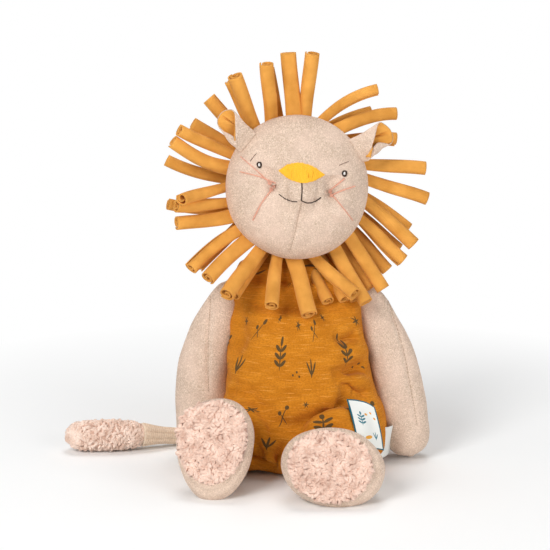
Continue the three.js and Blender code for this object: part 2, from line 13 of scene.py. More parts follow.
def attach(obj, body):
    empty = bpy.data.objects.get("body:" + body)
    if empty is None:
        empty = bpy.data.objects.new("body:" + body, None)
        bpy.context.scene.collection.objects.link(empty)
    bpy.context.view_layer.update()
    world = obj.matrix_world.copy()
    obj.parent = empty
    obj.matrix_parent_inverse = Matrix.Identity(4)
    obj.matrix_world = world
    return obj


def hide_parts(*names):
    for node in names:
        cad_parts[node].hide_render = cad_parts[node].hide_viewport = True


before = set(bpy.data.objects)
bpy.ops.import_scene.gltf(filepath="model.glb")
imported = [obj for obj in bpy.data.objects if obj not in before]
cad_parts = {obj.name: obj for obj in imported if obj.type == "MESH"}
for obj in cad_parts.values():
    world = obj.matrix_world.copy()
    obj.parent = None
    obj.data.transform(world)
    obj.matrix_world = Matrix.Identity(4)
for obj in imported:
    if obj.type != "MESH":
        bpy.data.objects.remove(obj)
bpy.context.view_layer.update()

# The photograph's camera: what it looks at, how high, how far, and its focal length in pixels
IMAGE_SIZE = 550
CAMERA_TARGET = (-0.014, 0.0, 0.120)
CAMERA_ELEVATION_DEGREES = 12
CAMERA_DISTANCE = 1.150
CAMERA_FOCAL_PIXELS = 1811
SENSOR_WIDTH_MM = 36
MIDDLE_PIXEL = (300, 350)

# Clearances
SEAM_GAP = 0.0003
FLOOR_PRESS = 0.0005

# Light and floor: each lamp's place, size and power
LAMP_AIM = (0, 0, 0.13)
LAMPS = {
    "key": ((-0.80, -1.15, 1.00), 0.7, 16.5),
    "fill": ((1.1, -1.2, 0.4), 1.0, 12.5),
    "top": ((0.0, 0.40, 1.6), 0.7, 9),
}
WORLD_STRENGTH = 0.26
SEEN_STRENGTH = 1.0
FLOOR_HALF_WIDTH = 3.0
FLOOR_COLOUR = (249, 250, 250)
FLOOR_ROUGHNESS = 0.9
FLOOR_FADE_SCALE = 2.6
FLOOR_FADE_SHARES = (0.35, 1.0)

# Steps that every form shares
TINY = 1e-12
LEAST_LENGTH = 1e-9
ROUND = 2.0
TANGENT_STEP_SHARE = 0.001
DOME_STEPS = 6
DOME_TIP_SHARE = 0.001
SEED_SKEW = 1.7
CARVE_STEPS = 40
CARVE_REACHES = 3

# Body, which is the stuffed romper
BODY_HEIGHT = 0.137
BODY_HALF_WIDTH = 0.057
BODY_HALF_DEPTH = 0.039
NECK_SET_BACK = 0.020
BODY_SQUARENESS = 2.7
THIGH_HALF_WIDTH = 0.021
THIGH_HALF_HEIGHT = 0.024
THIGH_REACH = 0.046
THIGH_SPREAD = 0.030
LEG_SKEW = 0.010
SEAT_REACH = 0.047
SEAT_HALF_WIDTH = 0.020
SEAT_HALF_HEIGHT = 0.013
BODY_DOME = 0.001
THIGH_DOME = 0.003
SEAT_DOME = 0.004
TORSO_RINGS = 60
TORSO_SIDES = 72
TORSO_SUBDIVISIONS = 2

# Head
HEAD_RADIUS = 0.0456
FACE_BULGE = 0.027
HEAD_BACK_DEPTH = 0.037
HEAD_BACK = 0.001
HEAD_LIFT = 0.040
HEAD_TURN_DEGREES = 10
HEAD_TIP_DEGREES = 12
HEAD_TILT_DEGREES = 5.5
HEAD_END_DEGREES = 89.4
HEAD_RINGS = 200
HEAD_SIDES = 280
HEAD_RUMPLE_SIZE = 0.03
HEAD_RUMPLE_HEIGHT = 0.0007
HEAD_RUMPLE_SEED = 3

# Mane
ROLL_LENGTH = 0.041
ROLL_RADIUS = 0.0057
ROLL_ROOT_DEPTH = 0.003
JERSEY_THICKNESS = 0.00095
OUTER_WINDING_GAP = 0.0001
INNER_WINDING_GAP = 0.00135
ROLL_CORE_RADIUS = 0.0006
BACK_LAYER_SHARE = 2.8
LIFT_POWER = 0.3
GOLDEN_DEGREES = 137.5
WINDING_START_TURNS = 0.55
WINDING_EASE_TURNS = 0.4
ROLL_FACETS = 24
ROLL_STEPS = 26
ROLL_SKIN_SHARE = 0.95
ROLL_LOOSENESS_SHARES = (1.2, 1.8)
ROLL_SQUEEZE_SHARES = (0.84, 1.0)
ROLL_ROOT_WIDTH_SHARES = (0.66, 1.06)
ROLL_EDGE_SHARE = 0.55
ROLL_EDGE_TAPER = 2
ROLL_EDGE_SWING = 1.2
ROLL_PINCH_SHARE = 0.45
ROOT_PINCH_SHARE = 0.34
ROLL_CREASES = 3
ROLL_CREASE_TURN = 2
ROLL_CREASE_SHARE = 0.03
ROOT_CREASE_SHARE = 0.15
ROLL_WANDER = 0.0005
ROLL_WANDER_WAVES = 1.6

# Ears. The places and reaches of the lobe, fold and crease are shares of the way round the rim.
EAR_REACH = 0.0235
EAR_BASE_HALF_WIDTH = 0.0083
EAR_BASE_HALF_DEPTH = 0.0030
EAR_WALL = 0.0009
EAR_LINING_WALL = 0.0007
EAR_LINING_GAP = 0.00012
EAR_ROOT_FORWARD = 0.0075
EAR_ROOT_DEPTH = 0.002
EAR_CLOCK_DEGREES = 54
EAR_SWELL = 0.0011
EAR_LOBE_RISES = {1: 0.0042, -1: 0.0024}
EAR_LOBE_PLACE_SHARE = 0.87
EAR_LOBE_REACH_SHARE = 0.13
EAR_FOLD_PLACE_SHARE = 0.54
EAR_FOLD_REACH_SHARE = 0.11
EAR_CREASE_REACH_SHARE = 0.02
EAR_FOLD_RISE = 0.0028
EAR_SIDES = 90
EAR_GRID_RINGS = 24
EAR_BASE_POWER = 0.6
EAR_FOLD_POWER = 1.5
EAR_SHELL_RINGS = (22, 2, 16)
EAR_SHELL_START_SHARE = 0.3
EAR_LIP_SHARE = 1.03
EAR_LINING_RINGS = (16, 14)
EAR_LINING_START_SHARES = (0.36, 0.42)
EAR_LINING_END_SHARE = 1.02

# Arms
ARM_LENGTH = 0.097
HAND_RADIUS = 0.0175
HAND_DEPTH_SHARE = 0.9
SHOULDER_SPREAD = 0.045
SHOULDER_DROP = 0.025
SHOULDER_BACK = 0.012
SHOULDER_OVERRUN = 0.003
LEFT_ARM = {
    "side": 1, "outwards_share": 0.26, "forwards_share": 0.14, "bow_share": 0.18,
    "girth_share": 0.96, "seam_pixels": [(388, 300), (402, 345), (412, 395), (417, 425)],
}
RIGHT_ARM = {
    "side": -1, "outwards_share": 0.16, "forwards_share": 0.17, "bow_share": 0.34,
    "girth_share": 1.04, "seam_pixels": [(211, 296), (209, 325), (208, 360), (208.5, 392)],
}
ARM_DOMES = (0.001, 0.0012)
ARM_RINGS = 100
ARM_SIDES = 110
ARM_RUMPLE_SIZE = 0.016
ARM_RUMPLE_HEIGHT = 0.0008
ARM_RUMPLE_SEED = 2
ARM_SEAM_DEPTH = 0.0014
ARM_SEAM_REACH = 0.0014

# Legs
LEG_LENGTH = 0.056
LEG_ROOT_DEPTH = 0.012
FOOT_HALF_LENGTH = 0.0315
FOOT_HALF_WIDTH = 0.024
SOLE_HALF_LENGTH = 0.0252
SOLE_HALF_WIDTH = 0.0212
SOLE_DOME = 0.0035
SOLE_BACKING = 0.0022
FOOT_TIP_DEGREES = 15
LEFT_FOOT = {
    "side": 1, "roll_degrees": 80, "forwards_share": 1.02, "outwards_share": 0.04,
    "pad_shift": (-0.0022, 0.0012), "heel_share": 0.03,
}
RIGHT_FOOT = {
    "side": -1, "roll_degrees": 3, "forwards_share": 0.74, "outwards_share": 0.5,
    "pad_shift": (0.0002, 0.0036), "heel_share": 0.16,
}
LEG_ROOT_DOME = 0.001
LEG_RINGS = 70
LEG_SIDES = 80
LEG_RUMPLE_SIZE = 0.018
LEG_RUMPLE_HEIGHT = 0.0007
LEG_RUMPLE_SEED = 5
TIP_START_SHARE = 0.35
TIP_SPAN_SHARE = 0.5

# Soles, and the clumps of yarn on them and on the tail's tuft
SOLE_DOME_STEPS = 10
SOLE_RINGS = 14
SOLE_SIDES = 60
SOLE_CURVE_SHARE = 0.86
SOLE_MIDDLE_SHARE = 0.02
SOLE_CURLS = 560
SOLE_CURL_REACH_SHARE = 0.97
SOLE_SPREAD_SHARE = 0.5
SOLE_FLOW_SIZE = 0.012
SOLE_FLOW_SEED = 9
SOLE_FLOW_HALF_TURNS = 1.6
SOLE_CURL_SIZES = {
    "sway": 1.0, "length": (0.0030, 0.0052), "radius": (0.0008, 0.0012), "rise": (0.0, 0.0022),
}
TUFT_CURL_SIZES = {
    "sway": 0.6, "length": (0.0032, 0.0048), "radius": (0.0009, 0.0012), "rise": (0.0002, 0.0010),
}
CURL_STEPS = 8
CURL_TWIST = 4.2
CURL_ACROSS = (0.3, 0.5, 0.8)
CURL_BEND_SHARE = 0.3
CURL_SUNK_SHARE = 0.6
CURL_SPREAD_SHARE = 0.62
CURL_END_SHARE = 0.5
CURL_MIDDLE_SHARE = 0.45

# Tail
TAIL_CORD_RADIUS = 0.0054
TAIL_TUFT_RADIUS = 0.0108
TAIL_TUFT_LENGTH = 0.046
TAIL_REACH = 0.079
TAIL_ROOT_BACK = 0.036
TAIL_ROOT_SIDE = 0.022
TAIL_ROOT_DEPTH = 0.006
TAIL_FORWARD_SHARE = 0.28
TAIL_MIDDLE_SHARE = 0.5
TAIL_MIDDLE_FORWARD_SHARE = 0.1
TUFT_FORWARD_SHARE = 0.06
TAIL_RIBS = 9
TAIL_RIB_SHARE = 0.16
TAIL_RIB_POWER = 0.7
SIDES_PER_RIB = 10
CORD_RINGS = 90
CORD_FLARE_START_SHARE = 0.8
CORD_FLARE_SPAN_SHARE = 0.2
CORD_FLARE_SHARE = 0.45
CORD_WAVERS = 40
CORD_WAVER_SHARE = 0.02
TUFT_DOMES = (0.001, 0.003)
TUFT_BASE_SHARE = 0.86
TUFT_RINGS = 56
TUFT_SIDES = 60
TUFT_BARE_RINGS = 2
TUFT_CURLS = 640
TUFT_FLOW_SIZE = 0.010
TUFT_FLOW_SEED = 13
TUFT_FLOW_HALF_TURNS = 1.4

# Labels. The side label is given by the pixels of its rows, from its top down.
LABEL_HEIGHT = 0.031
LABEL_WIDTH = 0.018
LABEL_BORDER = 0.0009
LABEL_THICKNESS = 0.0006
LABEL_LIFT = 0.0012
LABEL_CLING_SHARE = 0.5
LABEL_ROWS = 28
LABEL_COLUMNS = 22
SIDE_LABEL_PIXELS = [
    [(346.5, 399.5), (356, 400), (366, 402), (374.5, 407)],
    [(350.5, 414), (360, 415), (370, 417), (378.5, 421)],
    [(354.5, 430), (364, 431), (374, 433), (381.5, 436)],
    [(357.5, 446), (367, 447), (376, 449), (384, 451)],
]
CARE_LABEL_HEIGHT = 0.021
CARE_LABEL_TILT_DEGREES = -12
CARE_LABEL_ROWS = 3
CARE_LABEL_PATH_SHARES = [[0.92, -0.46], [1.0, -0.40], [1.07, -0.20]]
CARE_LABEL_HEIGHT_SHARE = 0.6

# Each row of the mane: where it starts round the face, clockwise from the top, how it swings away
# from straight out, how much further it has turned by its tip, how far it lifts towards the front,
# all in degrees, and its length and its thickness as shares of the roll's own.
FRONT_ROLL_SHARES = [
    [355.5, -5, 0, 12, 0.97, 1.02],
    [5.5, -7, 0, 24, 1.0, 0.92],
    [16, 22, 36, 4, 1.04, 0.76],
    [30, 26, 30, -2, 1.02, 0.82],
    [66, 22, 4, 2, 1.02, 0.92],
    [78, 24, 4, 2, 1.04, 0.92],
    [96, 26, 8, 2, 1.04, 0.92],
    [111, 20, -4, 4, 0.96, 0.92],
    [127, 18, 0, 10, 1.0, 0.92],
    [143, 8, -2, 20, 1.02, 0.92],
    [164, -28, -4, 36, 0.94, 0.92],
    [179.5, -15, 0, 28, 0.95, 1.02],
    [193, -5, 0, 36, 0.9, 0.96],
    [206, 14, -8, 30, 1.0, 1.0],
    [218, 14, -12, 26, 0.98, 0.94],
    [229.5, 8, -16, 16, 1.0, 0.86],
    [241, 16, 4, 14, 0.9, 0.86],
    [254, 2, 12, 26, 0.88, 0.84],
    [267, -12, -10, 40, 0.9, 0.84],
    [283, -8, 26, 14, 0.98, 0.84],
    [294, -8, 6, 20, 0.95, 0.84],
    [322, 8, 0, 24, 0.9, 0.96],
    [335.5, 13, 0, 26, 0.9, 0.9],
]
BACK_ROLL_SHARES = [
    [346, -3, 0, 6, 0.9, 0.86],
    [19, 40, 14, 0, 0.9, 0.82],
    [37, 36, 18, -4, 1.0, 0.9],
    [87, 30, 8, 0, 1.04, 0.92],
    [104, 22, 0, 0, 0.98, 0.88],
    [118, 16, 0, 2, 1.0, 0.92],
    [133, 12, 0, 18, 1.0, 0.84],
    [144, 9, 0, 30, 1.04, 0.8],
    [155, -3, 0, 34, 1.0, 0.8],
    [166, -8, 0, 36, 0.95, 0.84],
    [200, 14, 0, 26, 1.02, 0.9],
    [234, -12, 0, 10, 0.98, 0.86],
    [248, 10, 20, 8, 1.02, 0.8],
    [275, -4, 22, 0, 1.04, 0.8],
    [301, -5, 0, 4, 0.88, 0.86],
    [311, 4, 0, 0, 0.9, 0.94],
    [322, 6, 0, 14, 0.95, 0.88],
]

# Profiles of the stuffed forms: a ring's place along the form, and its width and depth, as shares
# of the form's length, half-width and half-depth.
BODY_PROFILE_SHARES = [
    [0, 0.72, 0.7],
    [0.02, 0.87, 0.86],
    [0.1, 1, 1],
    [0.22, 0.99, 1],
    [0.42, 0.86, 0.95],
    [0.6, 0.8, 0.84],
    [0.76, 0.77, 0.68],
    [0.87, 0.69, 0.54],
    [0.95, 0.47, 0.42],
    [1, 0.32, 0.32],
]
BODY_LEAN_SHARES = [0, 0.04, 0.2, 0.55, 0.9, 1]
ARM_PROFILE_SHARES = [
    [0, 0.22, 0.2],
    [0.03, 0.42, 0.4],
    [0.12, 0.66, 0.58],
    [0.3, 0.88, 0.8],
    [0.5, 0.96, 0.93],
    [0.68, 0.93, 0.97],
    [0.82, 0.82, 0.9],
    [0.92, 0.64, 0.72],
    [0.975, 0.4, 0.44],
    [1, 0.14, 0.16],
]
THIGH_PROFILE_SHARES = [
    [0, 0.6, 0.6],
    [0.3, 0.95, 0.95],
    [0.6, 1, 1],
    [0.84, 0.97, 0.97],
    [0.96, 0.84, 0.86],
    [1, 0.6, 0.64],
]
LEG_PROFILE_SHARES = [
    [0, 0.4, 0.34],
    [0.3, 0.54, 0.48],
    [0.55, 0.74, 0.72],
    [0.72, 0.9, 0.9],
    [0.86, 1, 1],
    [0.96, 0.93, 0.94],
    [1, 0.8, 0.82],
]
# The ear's open rim, from its low end round the front: out from the head, up along it and forward,
# as shares of the ear's reach, and each point's place round the rim.
EAR_RIM_SHARES = {
    1: [
        [0.09, -0.28, 0.30],
        [0.43, -0.03, 0.29],
        [0.82, 0.30, 0.20],
        [0.96, 0.19, 0.05],
        [1.03, -0.02, -0.03],
        [0.98, -0.25, -0.02],
        [0.82, -0.38, 0.05],
        [0.68, -0.28, 0.13],
        [0.50, -0.17, 0.20],
        [0.28, -0.21, 0.26],
    ],
    -1: [
        [0.20, -0.21, 0.30],
        [0.44, 0.05, 0.29],
        [0.74, 0.38, 0.20],
        [0.90, 0.31, 0.04],
        [0.95, 0.14, -0.05],
        [0.92, -0.04, -0.05],
        [0.80, -0.19, 0.00],
        [0.62, -0.23, 0.11],
        [0.47, -0.20, 0.20],
        [0.32, -0.18, 0.26],
    ],
}
EAR_RIM_PLACE_SHARES = [0, 0.14, 0.30, 0.41, 0.51, 0.60, 0.69, 0.78, 0.86, 0.93]
TUFT_PROFILE_SHARES = [
    [0, 0.5, 0.5],
    [0.12, 0.82, 0.8],
    [0.45, 1, 1],
    [0.85, 0.9, 0.92],
    [0.97, 0.72, 0.74],
    [1, 0.5, 0.5],
]

# The face's stitching, in pixels of the photograph
NOSE_TOP_PIXELS = [(278.9, 170.7), (288, 165.0), (299.5, 163.2), (313, 167.0), (324.2, 174.7)]
NOSE_BOTTOM_PIXELS = [(278.9, 170.7), (289, 178.6), (301.8, 182.7), (313.5, 180.6), (324.2, 174.7)]
MOUTH_STEM_PIXELS = [(301.8, 182.7), (302.0, 190), (301.3, 200.5)]
MOUTH_LEFT_PIXELS = [(320.8, 197.6), (315, 201.4), (307.6, 202.8), (301.3, 200.5)]
MOUTH_RIGHT_PIXELS = [(297.2, 201.7), (292, 201.2), (285, 198.6), (278.9, 194.2)]
EYE_RIGHT_PIXELS = (259.4, 164.9)
EYE_LEFT_PIXELS = (344.3, 173.5)
EYE_HALF_PIXELS = (2.1, 2.6)
BROW_RIGHT_PIXELS = [(250.2, 161.5), (253, 157.5), (256.5, 153.4)]
BROW_LEFT_PIXELS = [(339, 165.5), (344, 163.2), (349, 161.5)]
WHISKER_PIXELS = [
    [(269.7, 183.3), (256, 170), (241, 156.9)],
    [(276, 183.3), (258, 176.5), (240.4, 171.8)],
    [(271.4, 190.2), (261, 204), (253, 220)],
    [(330, 190.8), (337, 185), (344.3, 178.7)],
    [(330, 195.9), (342, 190.5), (354.6, 186.2)],
    [(333.4, 196.5), (343, 208), (352.4, 220)],
]
KNOT_PIXELS = [(269.7, 183.3), (274.5, 186.5), (271.4, 190.2), (330, 191.5), (331.5, 196.2)]
CHIN_SEAM_PIXELS = [(301.3, 202.8), (297.8, 219), (294.4, 235), (289.2, 253)]

# Thread. Each row of stitches has its pixels, how many stitches it has, the gap between them as a
# share of a stitch, and the thread's thickness as a share of the usual one.
THREAD_RADIUS = 0.00036
THREAD_SIDES = 6
TUBE_DOME_STEPS = 2
TUBE_END_SHARE = 0.7
TUBE_ALONG_SHARE = 0.95
TUBE_ACROSS = (0.31, 0.57, 0.76)
TUBE_OTHER_ACROSS = (0.76, -0.31, 0.57)
STITCH_POINTS = 6
STITCH_SUNK_SHARE = 0.2
STITCH_ARCH_SHARE = 0.7
FACE_STITCHES = {
    "mouth_stitches": ("dark_thread", [
        (MOUTH_STEM_PIXELS, 4, 0.02, 1.0),
        (MOUTH_LEFT_PIXELS, 5, 0.02, 1.0),
        (MOUTH_RIGHT_PIXELS, 5, 0.18, 0.85),
    ]),
    "brow_stitches": ("brown_thread", [
        (BROW_RIGHT_PIXELS, 2, 0.1, 0.6),
        (BROW_LEFT_PIXELS, 2, 0.1, 0.6),
    ]),
    "chin_seam": ("seam_thread", [(CHIN_SEAM_PIXELS, 22, 0.3, 0.4)]),
}
ARM_SEAM_ROW = (34, 0.4, 0.5)
NOSE_THREADS = 46
NOSE_THREAD_POINTS = 7
NOSE_THREAD_SHARE = 1.25
NOSE_SUNK_SHARE = 0.7
NOSE_RAGGED_PIXELS = (-0.35, 0.35)
NOSE_LIFT = 0.0001
NOSE_DOME = 0.0009
NOSE_DOME_POWERS = (0.6, 0.5)
NOSE_THREAD_STEP = 0.00012
NOSE_BACKING = 0.0012
EYE_TURNS = 3
EYE_STEPS = 26
EYE_LOBES = 3
EYE_RING_SHARE = 0.94
EYE_WOBBLE_SHARE = 0.09
EYE_SPREAD_SHARE = 0.07
EYE_THREAD_SHARE = 0.95
EYE_LIFT = 0.0003
EYE_LIFT_STEP = 0.0001
EYE_WHITE_PIXELS = [[(-0.6, -1.2), (-0.6, 1.0)], [(0.2, -1.2), (0.2, 1.0)]]
EYE_WHITE_POINTS = 5
EYE_WHITE_SHARE = 0.9
WHISKER_POINTS = 40
WHISKER_TWIST = 26
WHISKER_SPLAY_PIXELS = 0.25
WHISKER_ARCH_SHARE = 0.5
WHISKER_THREAD_SHARE = 0.9
KNOT_TURNS = 4
KNOT_STEPS = 8
KNOT_TURN_ANGLE = 2.1
KNOT_REACH_PIXELS = 1.2
KNOT_REACH_STEP_PIXELS = 0.25
KNOT_FLATNESS_SHARE = 0.7
KNOT_LIFT = 0.0003
KNOT_LEAST_LIFT = 0.0002
KNOT_THREAD_SHARE = 0.8

# Swellings and dents of the face: the line of pixels that each follows, how high it stands and how
# far it reaches
FACE_RELIEF = [
    [[(287, 192), (301, 193), (316, 195)], 0.0056, 0.0105],
    [[(288, 170), (301, 166), (315, 173)], 0.0018, 0.0085],
    [[(266, 180), (270, 167)], -0.0044, 0.0062],
    [[(334, 188), (333, 175)], -0.0044, 0.0062],
    [[(271, 186)], -0.0044, 0.0044],
    [[(331.5, 194)], -0.0044, 0.0044],
    [[(259, 165)], -0.0012, 0.0038],
    [[(344, 174)], -0.0012, 0.0038],
    [[(244, 198), (256, 214)], 0.0020, 0.0115],
    [[(347, 206), (338, 221)], 0.0020, 0.0115],
    [[(281, 193), (288, 200), (301, 202), (315, 201), (321, 196)], -0.0018, 0.0026],
    [[(283, 208), (301, 211), (318, 210)], -0.0012, 0.0060],
    [[(301.3, 205), (297.8, 219), (294.4, 235), (289.2, 253)], -0.0014, 0.0013],
]

# Folds of the romper, in the same way
ROMPER_FOLDS = [
    [[(228, 303), (262, 301), (300, 303), (336, 302), (356, 304)], -0.0060, 0.0066],
    [[(352, 396), (336, 403), (318, 412), (298, 428)], -0.0092, 0.0044],
    [[(347, 411), (334, 418), (320, 426), (304, 438)], 0.0052, 0.0066],
    [[(360, 334), (350, 338), (334, 336)], -0.0068, 0.0042],
    [[(364, 366), (352, 369), (332, 375)], -0.0078, 0.0044],
    [[(371, 393), (358, 391), (340, 384)], -0.0066, 0.0042],
    [[(340, 390), (318, 399), (298, 412)], 0.0034, 0.0070],
    [[(366, 350), (350, 353)], 0.0034, 0.0062],
    [[(370, 382), (354, 380)], 0.0028, 0.0058],
    [[(243, 366), (268, 380), (300, 385), (334, 376)], -0.0026, 0.0070],
    [[(256, 392), (284, 405), (318, 398)], 0.0022, 0.0090],
    [[(234, 305), (241, 330), (237, 356)], -0.0022, 0.0060],
    [[(352, 312), (334, 318), (314, 315)], -0.0028, 0.0055],
    [[(262, 312), (282, 322), (300, 320)], -0.0016, 0.0060],
    [[(250, 424), (256, 442), (262, 458)], -0.0046, 0.0040],
    [[(250, 440), (259, 457), (268, 473)], -0.0096, 0.0034],
    [[(287, 442), (278, 458), (272, 473)], -0.0088, 0.0034],
    [[(262, 444), (267, 457), (272, 466)], 0.0040, 0.0034],
    [[(288, 440), (287, 456), (292, 472)], -0.0024, 0.0026],
]

# How the filling puffs the romper out
PUFF_VOXEL = 0.0045
PUFF_PRESSURE = 4
PUFF_FRAMES = 20
PUFF_EASE_SHARE = 0.07
PUFF_CAP = 0.004
PUFF_NECK_SHARE = 0.93
PUFF_FLOOR_HEIGHT = 0.004
PUFF_HEM_SHARE = 0.96
SMOOTHING_SHARE = 0.5
SMOOTHINGS = 2
ROMPER_RUMPLE_SIZE = (0.030, 0.030, 0.013)
ROMPER_RUMPLE_HEIGHT = 0.0010
ROMPER_RUMPLE_SEED = 4

# How far out the romper reaches beside each arm, by the height above the floor
PRESS_HEIGHTS = [0.016, 0.035, 0.045, 0.064, 0.083, 0.102, 0.118]
LEFT_PRESS_WIDTHS = [0.062, 0.0560, 0.0515, 0.0458, 0.0430, 0.0412, 0.062]
RIGHT_PRESS_WIDTHS = [0.062, 0.0500, 0.0452, 0.0450, 0.0450, 0.0450, 0.062]
PRESS_SOFTNESS = 0.0016
ROMPER_WRAP_RADIUS = 0.049

# The romper's generic print, which repeats round the body
PRINT_TILES_ROUND = 5
PRINT_TILE_WIDTH = 2 * math.pi * ROMPER_WRAP_RADIUS / PRINT_TILES_ROUND
PRINT_TILE_HEIGHT = 0.052
PRINT_SHIFT_SHARE = 0.5

# Small generic figures, each made of ellipses: place across and up, half-length and half-width, as
# shares of the figure's size, and turn in degrees
FIGURE_SHARES = {
    "sprig": [
        (0, 0, 1, 0.07, 90), (0, 1.2, 0.36, 0.16, 90),
        (0.32, -0.4, 0.38, 0.15, 38), (-0.32, -0.4, 0.38, 0.15, 142),
        (0.32, 0.15, 0.38, 0.15, 38), (-0.32, 0.15, 0.38, 0.15, 142),
        (0.32, 0.7, 0.38, 0.15, 38), (-0.32, 0.7, 0.38, 0.15, 142),
    ],
    "cross": [(0, 0, 1, 0.16, 10), (0, 0, 1, 0.16, 70), (0, 0, 1, 0.16, 130)],
    "blades": [(-0.35, 0, 0.75, 0.12, 114), (0, 0, 1, 0.12, 90), (0.35, 0, 0.75, 0.12, 66)],
    "dots": [(-1, 0, 0.3, 0.3, 0), (0.2, 0.7, 0.3, 0.3, 0), (1, -0.3, 0.3, 0.3, 0)],
    "berry": [
        (0, 0, 1, 0.06, 60), (0.5, 0.85, 0.24, 0.24, 0),
        (0.1, -0.1, 0.55, 0.05, 130), (-0.28, 0.36, 0.2, 0.2, 0),
    ],
    "oval": [(0, 0, 1, 0.5, 20)],
}

# The figures of the print and the side label: kind, place and size. A place in the print is a share
# of its tile, and one on the label is in metres from the label's middle.
PRINT_FIGURES = [
    ("sprig", 0.24, 0.42, 0.0082), ("cross", 0.52, 0.78, 0.0034), ("blades", 0.70, 0.30, 0.0062),
    ("dots", 0.48, 0.22, 0.0028), ("berry", 0.82, 0.70, 0.0068), ("cross", 0.10, 0.85, 0.0026),
]
LABEL_TEAL_FIGURES = [("sprig", -0.003, 0.002, 0.0036), ("blades", 0.0036, -0.007, 0.0028)]
LABEL_ORANGE_FIGURES = [("dots", 0.003, 0.006, 0.0028), ("oval", -0.001, -0.0085, 0.0022)]

# Materials. A noise is its grains to a metre, detail and roughness, and a wave its lines and how far
# they waver. A range is where a pattern starts and where it is full. A tint is its share and colour, a
# bump its strength and height, and a surface its roughness, sheen and the sheen's roughness.
# Colours are as they look on a screen, from 0 to 255.
SCREEN_TOP = 255
SCREEN_KNEE = 0.04045
SCREEN_SLOPE = 12.92
SCREEN_OFFSET = 0.055
SCREEN_POWER = 2.4
BLACK = (0, 0, 0, 1)
WHITE = (1, 1, 1, 1)
SHAPE_EDGE_SHARES = (0.92, 1.06)
CLOTH_SPECULAR = 0.2
VELOUR_LOOK = {
    "fibre_turns": ((0.3, 0.2, 0.5), (1.2, 0.4, 1.9), (0.7, 1.5, 2.6)),
    "fibre_stretch": (1, 0.16, 1),
    "fibre_noise": (1350, 3, 0.6),
    "fibre_range": (0.44, 0.72),
    "fibre_colours": ((192, 166, 144), (242, 221, 203)),
    "grey_range": (0.52, 0.68),
    "grey_tint": (0.7, (180, 158, 140)),
    "blotch_noise": (210, 4, 0.62),
    "blotch_range": (0.46, 0.64),
    "blotch_tint": (0.5, (196, 170, 151)),
    "cloud_noise": (60, 3, 0.55),
    "cloud_range": (0.42, 0.66),
    "cloud_tint": (0.35, (236, 208, 190)),
    "bump": (0.35, 0.0004),
    "surface": (0.95, 0.16, 0.45),
}
JERSEY_LOOK = {
    "ribs": (420, 0.6),
    "rows": (360, 0.4),
    "grain_noise": (1100, 3, 0.6),
    "shade_noise": (80, 2, 0.5),
    "shade_range": (0.3, 0.7),
    "colours": ((200, 133, 51), (231, 163, 75)),
    "knit_tint": (0.22, (198, 130, 48)),
    "grain_tint": (0.25, (244, 186, 100)),
    "bump": (0.35, 0.0003),
    "surface": (0.9, 0.05, 0.5),
}
BOUCLE_LOOK = {
    "yarn_noise": (900, 3, 0.7),
    "yarn_tint": (0.4, (250, 228, 214)),
    "tone_noise": (170, 2, 0.5),
    "tone_range": (0.32, 0.66),
    "bump": (0.6, 0.0005),
    "surface": (0.95, 0.4, 0.5),
}
THREAD_LOOK = {
    "twist": (700, 1.5),
    "twist_turn": (0.5, 0.6, 0.8),
    # How strongly the painted highlight is laid along the twist's ridges
    "twist_highlight_share": 0.5,
    "bump": (0.4, 0.0002),
    "surface": (0.55, 0.2, 0.4),
}
KNIT_LOOK = {
    "loops": (330, 1.0),
    "loop_tint": (0.3, (204, 172, 144)),
    "grain_noise": (800, 3, 0.6),
    "grain_range": (0.3, 0.7),
    "colours": ((228, 201, 174), (248, 226, 202)),
    "bump": (0.5, 0.0004),
    "surface": (0.95, 0.35, 0.5),
}
ROMPER_LOOK = {
    "slub_stretch": (0.045, 1, 1),
    "slub_noise": (1500, 2, 0.5),
    "slub_range": (0.57, 0.72),
    "slub_tint": (0.7, (238, 170, 76)),
    "shade_stretch": (0.3, 1, 1),
    "shade_noise": (160, 3, 0.6),
    "shade_range": (0.3, 0.7),
    "colours": ((190, 114, 17), (218, 139, 34)),
    "ribs": (480, 0.8),
    "rib_tint": (0.12, (168, 97, 14)),
    "grain_stretch": (0.5, 1, 1),
    "grain_noise": (1300, 2, 0.6),
    "grain_range": (0.44, 0.62),
    "grain_tint": (0.4, (158, 90, 12)),
    "ink_tint": (0.9, (70, 62, 40)),
    "bump": (0.3, 0.0003),
    "surface": (0.92, 0.03, 0.5),
}
LABEL_LOOK = {
    "weave": (900, 0),
    "colour": (234, 236, 232),
    "weave_tint": (0.2, (206, 214, 214)),
    "teal": (70, 126, 140),
    "orange": (232, 166, 62),
    "border": (20, 98, 112),
    "bump": (0.3, 0.0002),
    "surface": (0.6, 0.1, 0.4),
}
YARN_COLOURS = {
    "pink_boucle": ((204, 163, 142), (241, 209, 191)),
    # The sole's base under the clumps: a darker pink that is painted shade of the hollows
    "pink_boucle_painted_shade": ((140, 94, 74), (174, 126, 104)),
    "pink_boucle_tuft": ((218, 182, 161), (248, 223, 207)),
    # The tuft's base under the clumps: a darker pink that is painted shade of the hollows
    "pink_boucle_tuft_painted_shade": ((176, 134, 113), (206, 162, 140)),
}
# Each thread's own colour, then the paler colour of the painted highlight along its twist
THREAD_COLOURS = {
    "nose_thread": ((250, 184, 28), (255, 208, 84)),
    "dark_thread": ((46, 34, 27), (84, 64, 52)),
    "brown_thread": ((110, 84, 70), (140, 112, 94)),
    "white_thread": ((240, 236, 230), (255, 255, 255)),
    "pink_thread": ((222, 158, 134), (240, 192, 170)),
    "seam_thread": ((160, 134, 112), (184, 158, 136)),
}

RANDOM = random.Random(7)


# Curves, rings and meshes


def vec(*values):
    return np.array(values, float)


UP = vec(0, 0, 1)
SIDEWAYS = vec(1, 0, 0)
FACE_OUT = vec(0, 0, 1)


def unit(vector):
    return vector / (np.linalg.norm(vector) + TINY)


def even_shares(count):
    return np.linspace(0, 1, count)


